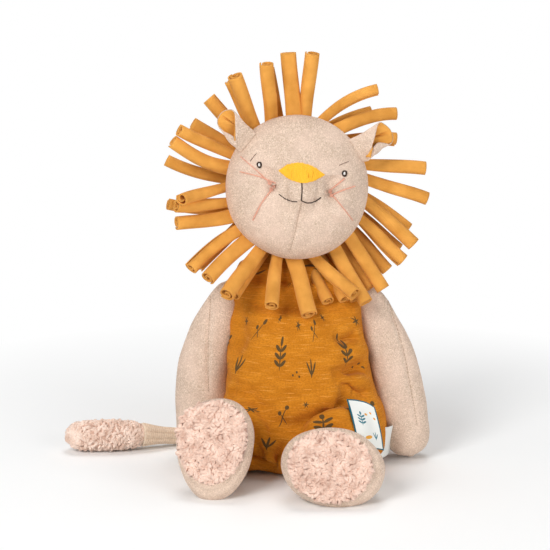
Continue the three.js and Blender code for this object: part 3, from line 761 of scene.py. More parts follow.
def curve_at(points, t):
    """A centripetal curve through the points, at t from 0 to 1."""
    points = np.asarray(points, float)
    count = len(points)
    place = (count - 1) * min(max(t, 0.0), 1.0)
    i = min(int(place), count - 2)
    w = place - i
    p1, p2 = points[i], points[i + 1]
    p0 = points[i - 1] if i > 0 else 2 * p1 - p2
    p3 = points[i + 2] if i + 2 < count else 2 * p2 - p1
    spans = ((p0, p1), (p1, p2), (p2, p3))
    d0, d1, d2 = (max(np.linalg.norm(b - a), LEAST_LENGTH) ** 0.5 for a, b in spans)
    m1 = d1 * ((p1 - p0) / d0 - (p2 - p0) / (d0 + d1) + (p2 - p1) / d1)
    m2 = d1 * ((p2 - p1) / d1 - (p3 - p1) / (d1 + d2) + (p3 - p2) / d2)
    c2 = -3 * p1 + 3 * p2 - 2 * m1 - m2
    c3 = 2 * p1 - 2 * p2 + m1 + m2
    return p1 + m1 * w + c2 * w * w + c3 * w ** 3


def closed_curve(points, places, at):
    """A smooth round through points that each have a place from 0 to 1, read at other places."""
    points, places = np.asarray(points, float), np.asarray(places, float)
    points = np.concatenate([points[-2:], points, points[:3]])
    places = np.concatenate([places[-2:] - 1, places, places[:3] + 1])
    slopes = np.zeros_like(points)
    slopes[1:-1] = (points[2:] - points[:-2]) / (places[2:] - places[:-2])[:, None]
    i = np.searchsorted(places, at, side="right") - 1
    span = (places[i + 1] - places[i])[:, None]
    t = (at - places[i])[:, None] / span
    from_points = (2 * t ** 3 - 3 * t ** 2 + 1) * points[i] + (3 * t ** 2 - 2 * t ** 3) * points[i + 1]
    from_slopes = (t ** 3 - 2 * t ** 2 + t) * slopes[i] + (t ** 3 - t ** 2) * slopes[i + 1]
    return from_points + span * from_slopes


def tangent_at(points, t):
    after = curve_at(points, min(t + TANGENT_STEP_SHARE, 1))
    return unit(after - curve_at(points, max(t - TANGENT_STEP_SHARE, 0)))


def angles_round(sides):
    return 2 * math.pi * np.arange(sides) / sides


def circle_outline(sides, squareness=ROUND):
    angles = angles_round(sides)
    power = 2 / squareness
    cos, sin = np.cos(angles), np.sin(angles)
    return np.stack([np.sign(cos) * abs(cos) ** power, np.sign(sin) * abs(sin) ** power], 1)


def axes_across(direction, across):
    """The two unit axes square to a direction, the first of them as near to across as it can be."""
    sideways = unit(across - direction * across.dot(direction))
    return sideways, np.cross(direction, sideways)


def ring_at(centre, direction, across, outline, half_width, half_depth):
    sideways, deep = axes_across(direction, across)
    return centre + outline[:, :1] * half_width * sideways + outline[:, 1:] * half_depth * deep


def form_of(spine, profile_shares, half_width, half_depth, across=SIDEWAYS, squareness=ROUND):
    """What a stuffed form is made from: its spine, and its sizes with their shares along it."""
    return {
        "spine": spine, "profile_shares": profile_shares, "half_width": half_width,
        "half_depth": half_depth, "across": across, "squareness": squareness,
    }


def stuffed_rings(form, rings, sides, domes, dome_steps=DOME_STEPS):
    """The rings of a stuffed form along its spine, each a round of points, with a dome on each end."""
    outline = circle_outline(sides, form["squareness"])
    found = []
    for place in even_shares(rings):
        along, width, depth = curve_at(form["profile_shares"], place)
        centre = curve_at(form["spine"], along)
        direction = tangent_at(form["spine"], along)
        half_width, half_depth = form["half_width"] * width, form["half_depth"] * depth
        found.append(ring_at(centre, direction, form["across"], outline, half_width, half_depth))
    return closed_rings(np.array(found), *domes, dome_steps)


def closed_rings(rings, dome_start, dome_end, steps):
    """Adds a low dome of shrinking rings to both ends, each of a height of its own."""
    first, last = rings[0], rings[-1]
    out_first = unit(first.mean(0) - rings[1].mean(0))
    out_last = unit(last.mean(0) - rings[-2].mean(0))
    start, end = [], []
    for step in range(1, steps + 1):
        angle = math.pi / 2 * step / steps
        shrink = max(math.cos(angle), DOME_TIP_SHARE)
        rise = math.sin(angle)
        start.append(first.mean(0) + (first - first.mean(0)) * shrink + out_first * dome_start * rise)
        end.append(last.mean(0) + (last - last.mean(0)) * shrink + out_last * dome_end * rise)
    return np.concatenate([start[::-1], rings, end])


def grid_faces(rows, columns, start=0, closed=True):
    faces = []
    for row in range(rows - 1):
        for column in range(columns if closed else columns - 1):
            a = start + row * columns + column
            b = start + row * columns + (column + 1) % columns
            faces.append((a, b, b + columns, a + columns))
    return faces


def loft_faces(rows, columns, start=0):
    """Faces of a lofted tube, with one face over each end."""
    faces = grid_faces(rows, columns, start)
    last = start + (rows - 1) * columns
    faces.append(tuple(range(start, start + columns))[::-1])
    faces.append(tuple(range(last, last + columns)))
    return faces


def corners_of(mesh):
    """The number of the vertex at each corner of each face."""
    found = np.zeros(len(mesh.loops), np.int32)
    mesh.loops.foreach_get("vertex_index", found)
    return found


def add_to_scene(name, data):
    added = bpy.data.objects.new(name, data)
    bpy.context.scene.collection.objects.link(added)
    return added


def make_object(name, vertices, faces, material, uvs=None):
    mesh = bpy.data.meshes.new(name)
    mesh.from_pydata([tuple(v) for v in vertices], [], faces)
    mesh.validate()
    smooth_shade(mesh)
    if uvs is not None:
        layer = mesh.uv_layers.new(name="cloth")
        layer.data.foreach_set("uv", np.asarray(uvs, np.float32)[corners_of(mesh)].ravel())
    mesh.materials.append(material)
    return add_to_scene(name, mesh)


def smooth_shade(mesh):
    mesh.polygons.foreach_set("use_smooth", [True] * len(mesh.polygons))


def lofted(name, rings, material, uvs=None, moved=None):
    """A closed piece over rings, with their points moved first where that is asked."""
    points = rings.reshape(-1, 3)
    vertices = points if moved is None else moved(points)
    return make_object(name, vertices, loft_faces(len(rings), rings.shape[1]), material, uvs)


def assigned(piece, body, node=None):
    """Says what a piece rides on, and hides the model's part for the node it replaces."""
    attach(piece, body)
    if node is not None:
        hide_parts(node)
    return piece


class Pile:
    """Collects many small closed shapes into one mesh."""

    def __init__(self):
        self.vertices = []
        self.faces = []

    def add(self, vertices, faces):
        start = len(self.vertices)
        self.vertices.extend(tuple(v) for v in vertices)
        self.faces.extend(tuple(start + i for i in face) for face in faces)

    def tube(self, points, radii):
        """A tube along points, of one radius or one for each point, round at both ends."""
        points = [np.asarray(p, float) for p in points]
        count = len(points)
        if not hasattr(radii, "__len__"):
            radii = [radii] * count
        outline = circle_outline(THREAD_SIDES)
        across = vec(*TUBE_ACROSS)
        rings = []
        for i, point in enumerate(points):
            direction = unit(points[min(i + 1, count - 1)] - points[max(i - 1, 0)])
            if abs(direction.dot(across)) > TUBE_ALONG_SHARE:
                across = vec(*TUBE_OTHER_ACROSS)
            across, deep = axes_across(direction, across)
            rings.append(point + radii[i] * (outline[:, :1] * across + outline[:, 1:] * deep))
        domes = (radii[0] * TUBE_END_SHARE, radii[-1] * TUBE_END_SHARE)
        rings = closed_rings(np.array(rings), *domes, TUBE_DOME_STEPS)
        self.add(rings.reshape(-1, 3), loft_faces(len(rings), THREAD_SIDES))

    def made(self, name, material):
        return make_object(name, self.vertices, self.faces, material)

    def sewn_on(self, name, thread, body="head"):
        """The stitches as a piece on the skin of a body."""
        assigned(self.made(name, THREAD[thread]), body)


def soft_noise(point, size, seed):
    return noise.noise(Vector(point) / size + Vector((seed, seed * SEED_SKEW, -seed)))


def recalculate_normals(piece):
    mesh = bmesh.new()
    mesh.from_mesh(piece.data)
    bmesh.ops.recalc_face_normals(mesh, faces=mesh.faces)
    mesh.to_mesh(piece.data)
    mesh.free()


def read_vertices(piece, kind="co"):
    values = np.empty(len(piece.data.vertices) * 3)
    piece.data.vertices.foreach_get(kind, values)
    return values.reshape(-1, 3)


def write_vertices(piece, places):
    piece.data.vertices.foreach_set("co", places.ravel())
    piece.data.update()


def carve(piece, line, height, reach):
    """Raises a soft ridge on a piece along a line of points, or presses a groove below zero."""
    places, normals = read_vertices(piece), read_vertices(piece, "normal")
    path = np.array(line)
    if len(line) > 1:
        path = np.array([curve_at(line, t) for t in even_shares(CARVE_STEPS)])
    margin = CARVE_REACHES * reach
    near = np.all((places > path.min(0) - margin) & (places < path.max(0) + margin), axis=1)
    gaps = np.linalg.norm(places[near][:, None] - path[None], axis=2)
    fade = np.sin(math.pi * (gaps.argmin(1) + 0.5) / len(path)) ** 0.5
    lift = height * fade * np.exp(-((gaps.min(1) / reach) ** 2))
    places[near] += normals[near] * lift[:, None]
    write_vertices(piece, places)


def rumple(piece, size, height, seed):
    """Adds soft unevenness to a piece, of a width, depth and height of its own."""
    places, normals = read_vertices(piece), read_vertices(piece, "normal")
    shift = vec(seed, -seed, seed)
    lifts = np.array([noise.noise(Vector(place)) for place in places / vec(*size) + shift])
    write_vertices(piece, places + normals * lifts[:, None] * height)


def normals_of(rings):
    """Outward normals of a closed round of rings."""
    around = np.roll(rings, -1, 1) - np.roll(rings, 1, 1)
    along = np.gradient(rings, axis=0)
    found = np.cross(around, along)
    found /= np.linalg.norm(found, axis=2, keepdims=True) + TINY
    return found


def roughened(rings, size, height, seed):
    """Adds soft unevenness to rings."""
    flat, normals = rings.reshape(-1, 3), normals_of(rings).reshape(-1, 3)
    lifts = np.array([soft_noise(p, size, seed) * height for p in flat])
    return (flat + normals * lifts[:, None]).reshape(rings.shape)


def drop_on_floor(piece):
    """Presses flat what would reach below the floor."""
    for vertex in piece.data.vertices:
        vertex.co.z = max(vertex.co.z, 0.0)


# Materials


def srgb(red, green, blue):
    """A colour as it looks on a screen, from 0 to 255, made linear."""
    linear = []
    for value in (red, green, blue):
        share = value / SCREEN_TOP
        curved = ((share + SCREEN_OFFSET) / (1 + SCREEN_OFFSET)) ** SCREEN_POWER
        linear.append(share / SCREEN_SLOPE if share <= SCREEN_KNEE else curved)
    return (*linear, 1)


class Graph:
    """Short ways to build the nodes of a material or of the world."""

    def __init__(self, owner):
        owner.use_nodes = True
        self.owner = owner
        self.nodes, self.links = owner.node_tree.nodes, owner.node_tree.links

    def add(self, kind, **settings):
        node = self.nodes.new(kind)
        for key, value in settings.items():
            setattr(node, key, value)
        return node

    def feed(self, socket, value):
        if isinstance(value, bpy.types.NodeSocket):
            self.links.new(value, socket)
        else:
            socket.default_value = value

    def node(self, kind, inputs, **settings):
        """A node with its inputs fed by name or number."""
        node = self.add(kind, **settings)
        for key, value in inputs.items():
            self.feed(node.inputs[key], value)
        return node

    def coordinates(self, kind="Object"):
        return self.add("ShaderNodeTexCoord").outputs[kind]

    def mapped(self, vector, kind="POINT", **inputs):
        """The vector with a Location, Rotation and Scale of its own."""
        node = self.node("ShaderNodeMapping", {"Vector": vector, **inputs}, vector_type=kind)
        return node.outputs["Vector"]

    def noise(self, vector, scale, detail, roughness):
        inputs = {"Vector": vector, "Scale": scale, "Detail": detail, "Roughness": roughness}
        return self.node("ShaderNodeTexNoise", inputs).outputs["Fac"]

    def wave(self, vector, scale, distortion, direction="X"):
        inputs = {"Vector": vector, "Scale": scale, "Distortion": distortion}
        return self.node("ShaderNodeTexWave", inputs, bands_direction=direction).outputs["Fac"]

    def ramp(self, factor, low, high, low_colour=BLACK, high_colour=WHITE):
        node = self.node("ShaderNodeValToRGB", {"Fac": factor})
        for element, position, colour in zip(
            node.color_ramp.elements, (low, high), (low_colour, high_colour)
        ):
            element.position = position
            element.color = colour
        return node.outputs["Color"]

    def mix(self, factor, a, b):
        inputs = {"Factor": factor, "A": a, "B": b}
        return self.node("ShaderNodeMix", inputs, data_type="RGBA").outputs["Result"]

    def between(self, factor, colours):
        return self.mix(factor, srgb(*colours[0]), srgb(*colours[1]))

    def tinted(self, colour, pattern, share, tint):
        """A colour with a share of another laid over it where the pattern is."""
        return self.mix(self.math("MULTIPLY", pattern, share), colour, srgb(*tint))

    def math(self, operation, a, b=0.0):
        return self.node("ShaderNodeMath", {0: a, 1: b}, operation=operation).outputs["Value"]

    def split(self, vector):
        return self.node("ShaderNodeSeparateXYZ", {"Vector": vector}).outputs

    def length(self, vector):
        return self.node("ShaderNodeVectorMath", {0: vector}, operation="LENGTH").outputs["Value"]

    def inside(self, vector, shapes):
        """1 inside any of the ellipses: each has a centre, its two half-sizes and its turn."""
        nearest = None
        for x, y, half_length, half_width, degrees in shapes:
            inputs = {"Location": (x, y, 0), "Rotation": (0, 0, math.radians(degrees))}
            inputs["Scale"] = (half_length, half_width, 1)
            value = self.length(self.mapped(vector, "TEXTURE", **inputs))
            nearest = value if nearest is None else self.math("MINIMUM", nearest, value)
        return self.ramp(nearest, *SHAPE_EDGE_SHARES, WHITE, BLACK)

    def seen_directly(self):
        """1 where the camera sees it, also by reflection or through glass."""
        path = self.add("ShaderNodeLightPath").outputs
        seen = self.math("MAXIMUM", path["Is Camera Ray"], path["Is Glossy Ray"])
        return self.math("MAXIMUM", seen, path["Is Transmission Ray"])

    def finish(self, colour, height, look):
        """Sets the shader's colour, bump, roughness and sheen, and gives the material."""
        strength, distance = look["bump"]
        inputs = {"Height": height, "Strength": strength, "Distance": distance}
        shader = self.nodes["Principled BSDF"].inputs
        self.feed(shader["Base Color"], colour)
        self.feed(shader["Normal"], self.node("ShaderNodeBump", inputs).outputs["Normal"])
        for name, value in zip(("Roughness", "Sheen Weight", "Sheen Roughness"), look["surface"]):
            shader[name].default_value = value
        shader["Specular IOR Level"].default_value = CLOTH_SPECULAR
        return self.owner


def material_graph(name):
    return Graph(bpy.data.materials.new(name))


def velour_material():
    """Beige velour jersey, heathered with paler, greyer and pinker fibres that lie every way."""
    g = material_graph("beige_velour")
    look = VELOUR_LOOK
    place = g.coordinates()
    layers = []
    for turn in look["fibre_turns"]:
        turned = g.mapped(place, Rotation=turn, Scale=look["fibre_stretch"])
        layers.append(g.noise(turned, *look["fibre_noise"]))
    fibres = g.math("MAXIMUM", layers[0], layers[1])
    colour = g.between(g.ramp(fibres, *look["fibre_range"]), look["fibre_colours"])
    colour = g.tinted(colour, g.ramp(layers[2], *look["grey_range"]), *look["grey_tint"])
    for patch in ("blotch", "cloud"):
        pattern = g.ramp(g.noise(place, *look[f"{patch}_noise"]), *look[f"{patch}_range"])
        colour = g.tinted(colour, pattern, *look[f"{patch}_tint"])
    return g.finish(colour, g.math("ADD", fibres, layers[2]), look)


def jersey_material():
    """Plain mustard jersey, with its fine knitted ribs."""
    g = material_graph("mane_jersey")
    look = JERSEY_LOOK
    place = g.coordinates("UV")
    knit = g.math("MULTIPLY", g.wave(place, *look["ribs"]), g.wave(place, *look["rows"], "Y"))
    grain = g.noise(g.coordinates(), *look["grain_noise"])
    shade = g.noise(g.coordinates(), *look["shade_noise"])
    colour = g.between(g.ramp(shade, *look["shade_range"]), look["colours"])
    colour = g.tinted(colour, knit, *look["knit_tint"])
    colour = g.tinted(colour, grain, *look["grain_tint"])
    return g.finish(colour, g.math("ADD", knit, grain), look)


def boucle_material(name, colours):
    """Pink looped yarn."""
    g = material_graph(name)
    look = BOUCLE_LOOK
    place = g.coordinates()
    yarn = g.noise(place, *look["yarn_noise"])
    tone = g.noise(place, *look["tone_noise"])
    colour = g.between(g.ramp(tone, *look["tone_range"]), colours)
    return g.finish(g.tinted(colour, yarn, *look["yarn_tint"]), yarn, look)


def thread_material(name, colour, glow):
    """Embroidery thread, with its fine twist and a painted highlight along the twist's ridges."""
    g = material_graph(name)
    look = THREAD_LOOK
    twist = g.wave(g.mapped(g.coordinates(), Rotation=look["twist_turn"]), *look["twist"])
    # The second colour is a painted highlight, laid where the twist stands highest
    return g.finish(g.tinted(srgb(*colour), twist, look["twist_highlight_share"], glow), twist, look)


def knit_material():
    """Beige knit of the tail's cord, with its rows of loops."""
    g = material_graph("knit_cord")
    look = KNIT_LOOK
    loops = g.wave(g.coordinates("UV"), *look["loops"], "Y")
    grain = g.noise(g.coordinates(), *look["grain_noise"])
    colour = g.between(g.ramp(grain, *look["grain_range"]), look["colours"])
    return g.finish(g.tinted(colour, loops, *look["loop_tint"]), g.math("ADD", loops, grain), look)


def drawn(figures, width=1, height=1):
    """The ellipses of small figures whose places are shares of a width and a height."""
    return [
        (width * x + size * across, height * y + size * up, size * long, size * wide, degrees)
        for kind, x, y, size in figures
        for across, up, long, wide, degrees in FIGURE_SHARES[kind]
    ]


def print_tile(g, place):
    """The place within one tile of the print. Each row of tiles is shifted against the last."""
    x, y, _ = g.split(place)
    row = g.math("DIVIDE", y, PRINT_TILE_HEIGHT)
    shift = g.math("MULTIPLY", g.math("FLOOR", row), PRINT_SHIFT_SHARE)
    column = g.math("ADD", g.math("DIVIDE", x, PRINT_TILE_WIDTH), shift)
    inputs = {
        "X": g.math("MULTIPLY", g.math("FRACT", column), PRINT_TILE_WIDTH),
        "Y": g.math("MULTIPLY", g.math("FRACT", row), PRINT_TILE_HEIGHT),
    }
    return g.node("ShaderNodeCombineXYZ", inputs).outputs["Vector"]


def romper_material():
    """Mustard slub jersey: thin pale slubs along its rows, fine upright ribs and a small dark print."""
    g = material_graph("romper_jersey")
    look = ROMPER_LOOK
    place = g.coordinates("UV")
    slubs, shade, grain = (
        g.noise(g.mapped(place, Scale=look[f"{kind}_stretch"]), *look[f"{kind}_noise"])
        for kind in ("slub", "shade", "grain")
    )
    ribs = g.wave(place, *look["ribs"])
    colour = g.between(g.ramp(shade, *look["shade_range"]), look["colours"])
    colour = g.tinted(colour, g.ramp(slubs, *look["slub_range"]), *look["slub_tint"])
    colour = g.tinted(colour, ribs, *look["rib_tint"])
    colour = g.tinted(colour, g.ramp(grain, *look["grain_range"]), *look["grain_tint"])
    figures = drawn(PRINT_FIGURES, PRINT_TILE_WIDTH, PRINT_TILE_HEIGHT)
    colour = g.tinted(colour, g.inside(print_tile(g, place), figures), *look["ink_tint"])
    return g.finish(colour, g.math("ADD", ribs, slubs), look)


def label_material(name, with_border):
    """Fine pale weave, with a teal edge and small generic figures where it has a border."""
    g = material_graph(name)
    look = LABEL_LOOK
    place = g.coordinates("UV")
    weave = g.math("MULTIPLY", g.wave(place, *look["weave"]), g.wave(place, *look["weave"], "Y"))
    colour = g.tinted(srgb(*look["colour"]), weave, *look["weave_tint"])
    if with_border:
        colour = g.mix(g.inside(place, drawn(LABEL_TEAL_FIGURES)), colour, srgb(*look["teal"]))
        colour = g.mix(g.inside(place, drawn(LABEL_ORANGE_FIGURES)), colour, srgb(*look["orange"]))
        edges = [
            g.math("GREATER_THAN", g.math("ABSOLUTE", reach), size / 2 - LABEL_BORDER)
            for reach, size in zip(g.split(place), (LABEL_WIDTH, LABEL_HEIGHT))
        ]
        colour = g.mix(g.math("MAXIMUM", *edges), colour, srgb(*look["border"]))
    return g.finish(colour, weave, look)


VELOUR = velour_material()
MANE_JERSEY = jersey_material()
KNIT = knit_material()
ROMPER = romper_material()
LABEL = label_material("label_weave", True)
CARE_LABEL = label_material("care_satin", False)
YARN = {name: boucle_material(name, colours) for name, colours in YARN_COLOURS.items()}
THREAD = {name: thread_material(name, *colours) for name, colours in THREAD_COLOURS.items()}


# Camera, light and floor


CAMERA_ELEVATION = math.radians(CAMERA_ELEVATION_DEGREES)
CAMERA_UP = vec(0, math.sin(CAMERA_ELEVATION), math.cos(CAMERA_ELEVATION))
CAMERA_FORWARD = vec(0, math.cos(CAMERA_ELEVATION), -math.sin(CAMERA_ELEVATION))
CAMERA_EYE = vec(*CAMERA_TARGET) - CAMERA_FORWARD * CAMERA_DISTANCE


def pixel_ray(pixel):
    across, down = pixel[0] - IMAGE_SIZE / 2, pixel[1] - IMAGE_SIZE / 2
    return unit(CAMERA_FORWARD + (SIDEWAYS * across - CAMERA_UP * down) / CAMERA_FOCAL_PIXELS)


def add_camera():
    data = bpy.data.cameras.new("camera")
    data.sensor_width = SENSOR_WIDTH_MM
    data.lens = CAMERA_FOCAL_PIXELS / IMAGE_SIZE * SENSOR_WIDTH_MM
    camera = add_to_scene("camera", data)
    camera.location = CAMERA_EYE
    camera.rotation_euler = (math.radians(90 - CAMERA_ELEVATION_DEGREES), 0, 0)
    bpy.context.scene.camera = camera


def add_lights():
    for name, (place, size, power) in LAMPS.items():
        data = bpy.data.lights.new(name, "AREA")
        data.size = size
        data.energy = power
        light = add_to_scene(name, data)
        light.location = place
        light.rotation_euler = (Vector(LAMP_AIM) - Vector(place)).to_track_quat("-Z", "Y").to_euler()


def paint_world():
    """A soft light on the lion, and white where the camera looks past the floor."""
    g = Graph(bpy.data.worlds.new("studio"))
    inputs = {"Value": g.seen_directly(), "To Min": WORLD_STRENGTH, "To Max": SEEN_STRENGTH}
    background = g.nodes["Background"].inputs
    g.feed(background["Strength"], g.node("ShaderNodeMapRange", inputs).outputs["Result"])
    background["Color"].default_value = WHITE
    bpy.context.scene.world = g.owner


def add_floor():
    """A pale floor that fades to white away from the lion."""
    g = material_graph("floor")
    shader = g.nodes["Principled BSDF"]
    shader.inputs["Base Color"].default_value = srgb(*FLOOR_COLOUR)
    shader.inputs["Roughness"].default_value = FLOOR_ROUGHNESS
    glow = g.node("ShaderNodeEmission", {"Color": WHITE})
    place = g.mapped(g.coordinates(), Scale=(FLOOR_FADE_SCALE, FLOOR_FADE_SCALE, 1))
    fade = g.ramp(g.length(place), *FLOOR_FADE_SHARES)
    share = g.math("MULTIPLY", g.seen_directly(), fade)
    inputs = {0: share, 1: shader.outputs["BSDF"], 2: glow.outputs["Emission"]}
    mixed = g.node("ShaderNodeMixShader", inputs)
    g.feed(g.nodes["Material Output"].inputs["Surface"], mixed.outputs["Shader"])
    floor = bpy.data.meshes.new("floor")
    corners = [(-1, -1), (1, -1), (1, 1), (-1, 1)]
    places = [(x * FLOOR_HALF_WIDTH, y * FLOOR_HALF_WIDTH, 0) for x, y in corners]
    floor.from_pydata(places, [], [tuple(range(len(corners)))])
    floor.materials.append(g.owner)
    add_to_scene("floor", floor)


# The head's own frame: x across the face, y up it and z straight out of it


NECK_TOP = vec(0, NECK_SET_BACK, BODY_HEIGHT - FLOOR_PRESS)
HEAD_CENTRE = vec(0, HEAD_BACK, NECK_TOP[2] + HEAD_LIFT)


def turn_matrix(axis, degrees):
    angle = math.radians(degrees)
    c, s = math.cos(angle), math.sin(angle)
    if axis == "x":
        return np.array([[1, 0, 0], [0, c, -s], [0, s, c]])
    if axis == "y":
        return np.array([[c, 0, s], [0, 1, 0], [-s, 0, c]])
    return np.array([[c, -s, 0], [s, c, 0], [0, 0, 1]])


FACE_TURN = (
    np.array([[1, 0, 0], [0, 0, -1], [0, 1, 0]], float)
    @ turn_matrix("y", HEAD_TURN_DEGREES)
    @ turn_matrix("x", -HEAD_TIP_DEGREES)
    @ turn_matrix("z", -HEAD_TILT_DEGREES)
)


def from_face(points):
    """Points of the head's own frame, in the lion's frame."""
    return np.asarray(points, float) @ FACE_TURN.T + HEAD_CENTRE


def head_radius_at(depth):
    reach = FACE_BULGE if depth > 0 else HEAD_BACK_DEPTH
    return HEAD_RADIUS * math.sqrt(1 - (depth / reach) ** 2)


def head_rings():
    found = []
    angles = angles_round(HEAD_SIDES)
    for tip in np.linspace(-HEAD_END_DEGREES, HEAD_END_DEGREES, HEAD_RINGS):
        angle = math.radians(tip)
        reach = FACE_BULGE if angle > 0 else HEAD_BACK_DEPTH
        radius = HEAD_RADIUS * math.cos(angle)
        depth = np.full(HEAD_SIDES, reach * math.sin(angle))
        found.append(np.stack([radius * np.cos(angles), radius * np.sin(angles), depth], 1))
    return np.array(found)


def surface_of(piece):
    """A tree of the piece's faces, to find where a ray meets them."""
    vertices = [v.co.copy() for v in piece.data.vertices]
    return BVHTree.FromPolygons(vertices, [list(p.vertices) for p in piece.data.polygons])


def at_pixel(tree, pixel, lift=0.0):
    """Where the photograph's pixel, or else the next one inwards, falls on a surface, lifted off it."""
    pixel = vec(*pixel)
    place = None
    while place is None:
        place, normal, _, _ = tree.ray_cast(Vector(CAMERA_EYE), Vector(pixel_ray(pixel)))
        pixel = pixel + unit(vec(*MIDDLE_PIXEL) - pixel)
    return np.array(place) + np.array(normal) * lift


def carve_relief(piece, relief):
    """Carves each swelling or dent along its line of pixels."""
    tree = surface_of(piece)
    for pixels, height, reach in relief:
        carve(piece, [at_pixel(tree, pixel) for pixel in pixels], height, reach)


def add_head():
    rings = roughened(head_rings(), HEAD_RUMPLE_SIZE, HEAD_RUMPLE_HEIGHT, HEAD_RUMPLE_SEED)
    head = lofted("head_skin", rings, VELOUR, moved=from_face)
    carve_relief(head, FACE_RELIEF)
    return assigned(head, "head", "head")


# Stitching


def add_stitches(name, tree, rows, thread, body="head"):
    """Rows of stitches, each a short thread that dips in at both ends."""
    pile = Pile()
    for pixels, count, gap_share, thickness_share in rows:
        radius = THREAD_RADIUS * thickness_share
        for stitch in range(count):
            ends = ((stitch + gap_share / 2) / count, (stitch + 1 - gap_share / 2) / count)
            points = []
            for along in even_shares(STITCH_POINTS):
                pixel = curve_at(pixels, ends[0] * (1 - along) + ends[1] * along)
                arch = STITCH_SUNK_SHARE + STITCH_ARCH_SHARE * math.sin(math.pi * along)
                points.append(at_pixel(tree, pixel, radius * arch))
            pile.tube(points, radius)
    pile.sewn_on(name, thread, body)


def add_nose(tree):
    """Upright threads side by side, over a closed backing that fills the gaps between them."""
    pile = Pile()
    under = []
    for thread in range(NOSE_THREADS):
        share = (thread + 0.5) / NOSE_THREADS
        top = curve_at(NOSE_TOP_PIXELS, share) - vec(0, RANDOM.uniform(*NOSE_RAGGED_PIXELS))
        bottom = curve_at(NOSE_BOTTOM_PIXELS, share) + vec(0, RANDOM.uniform(*NOSE_RAGGED_PIXELS))
        points = []
        for along in even_shares(NOSE_THREAD_POINTS):
            pixel = top * (1 - along) + bottom * along
            dome = math.sin(math.pi * along) ** NOSE_DOME_POWERS[0]
            dome = dome * math.sin(math.pi * share) ** NOSE_DOME_POWERS[1]
            lift = NOSE_LIFT + NOSE_DOME * dome + NOSE_THREAD_STEP * (thread % 2)
            points.append(at_pixel(tree, pixel, lift))
        sunk = [point + vec(0, THREAD_RADIUS * NOSE_SUNK_SHARE, 0) for point in points]
        under.append(sunk + [point + vec(0, NOSE_BACKING, 0) for point in reversed(points)])
        pile.tube(points, THREAD_RADIUS * NOSE_THREAD_SHARE)
    pile.add(np.array(under).reshape(-1, 3), loft_faces(NOSE_THREADS, 2 * NOSE_THREAD_POINTS))
    pile.sewn_on("nose_stitches", "nose_thread")


def add_eye(tree, name, centre):
    """A ring of dark thread sewn round a few times, with two white stitches inside it."""
    ring = Pile()
    for turn in range(EYE_TURNS):
        points = []
        for step in range(EYE_STEPS + 1):
            angle = 2 * math.pi * step / EYE_STEPS + turn
            wobble = EYE_WOBBLE_SHARE * math.sin(EYE_LOBES * angle + turn * 2)
            reach = EYE_RING_SHARE + wobble + EYE_SPREAD_SHARE * turn
            offset = vec(*EYE_HALF_PIXELS) * reach * vec(math.cos(angle), math.sin(angle))
            points.append(at_pixel(tree, vec(*centre) + offset, EYE_LIFT + EYE_LIFT_STEP * turn))
        ring.tube(points, THREAD_RADIUS * EYE_THREAD_SHARE)
    ring.sewn_on(f"{name}_ring", "dark_thread")
    middle = Pile()
    for pixels in EYE_WHITE_PIXELS:
        ends = [vec(*centre) + vec(*pixel) for pixel in pixels]
        path = [ends[0] * (1 - t) + ends[1] * t for t in even_shares(EYE_WHITE_POINTS)]
        middle.tube([at_pixel(tree, pixel, EYE_LIFT) for pixel in path], THREAD_RADIUS * EYE_WHITE_SHARE)
    middle.sewn_on(f"{name}_white", "white_thread")


def add_whisker(pile, tree, pixels, number):
    """Two strands of thread wound about each other."""
    for strand in (0, math.pi):
        points = []
        for t in even_shares(WHISKER_POINTS):
            turn = strand + t * WHISKER_TWIST + number
            splay = vec(math.cos(turn), math.cos(turn)) * WHISKER_SPLAY_PIXELS
            lift = THREAD_RADIUS * (1 + WHISKER_ARCH_SHARE * math.sin(turn))
            points.append(at_pixel(tree, curve_at(pixels, t) + splay, lift))
        pile.tube(points, THREAD_RADIUS * WHISKER_THREAD_SHARE)


def add_knot(pile, tree, centre, knot):
    """A few loops of thread, each a little wider and higher than the last."""
    for turn in range(KNOT_TURNS):
        points = []
        reach = KNOT_REACH_PIXELS + KNOT_REACH_STEP_PIXELS * turn
        for step in range(KNOT_STEPS + 1):
            angle = 2 * math.pi * step / KNOT_STEPS + turn * KNOT_TURN_ANGLE + knot
            flat = KNOT_FLATNESS_SHARE * reach * math.sin(angle + turn)
            lift = KNOT_LIFT + KNOT_LIFT * (turn + math.sin(angle * 2 + knot))
            pixel = vec(*centre) + vec(reach * math.cos(angle), flat)
            points.append(at_pixel(tree, pixel, max(lift, KNOT_LEAST_LIFT)))
        pile.tube(points, THREAD_RADIUS * KNOT_THREAD_SHARE)


def add_whiskers(tree):
    pile = Pile()
    for number, pixels in enumerate(WHISKER_PIXELS):
        add_whisker(pile, tree, pixels, number)
    for knot, pixel in enumerate(KNOT_PIXELS):
        add_knot(pile, tree, pixel, knot)
    pile.sewn_on("whiskers", "pink_thread")


def add_face(head):
    tree = surface_of(head)
    add_nose(tree)
    for name, (thread, rows) in FACE_STITCHES.items():
        add_stitches(name, tree, rows, thread)
    add_eye(tree, "eye_right", EYE_RIGHT_PIXELS)
    add_eye(tree, "eye_left", EYE_LEFT_PIXELS)
    add_whiskers(tree)


# Mane


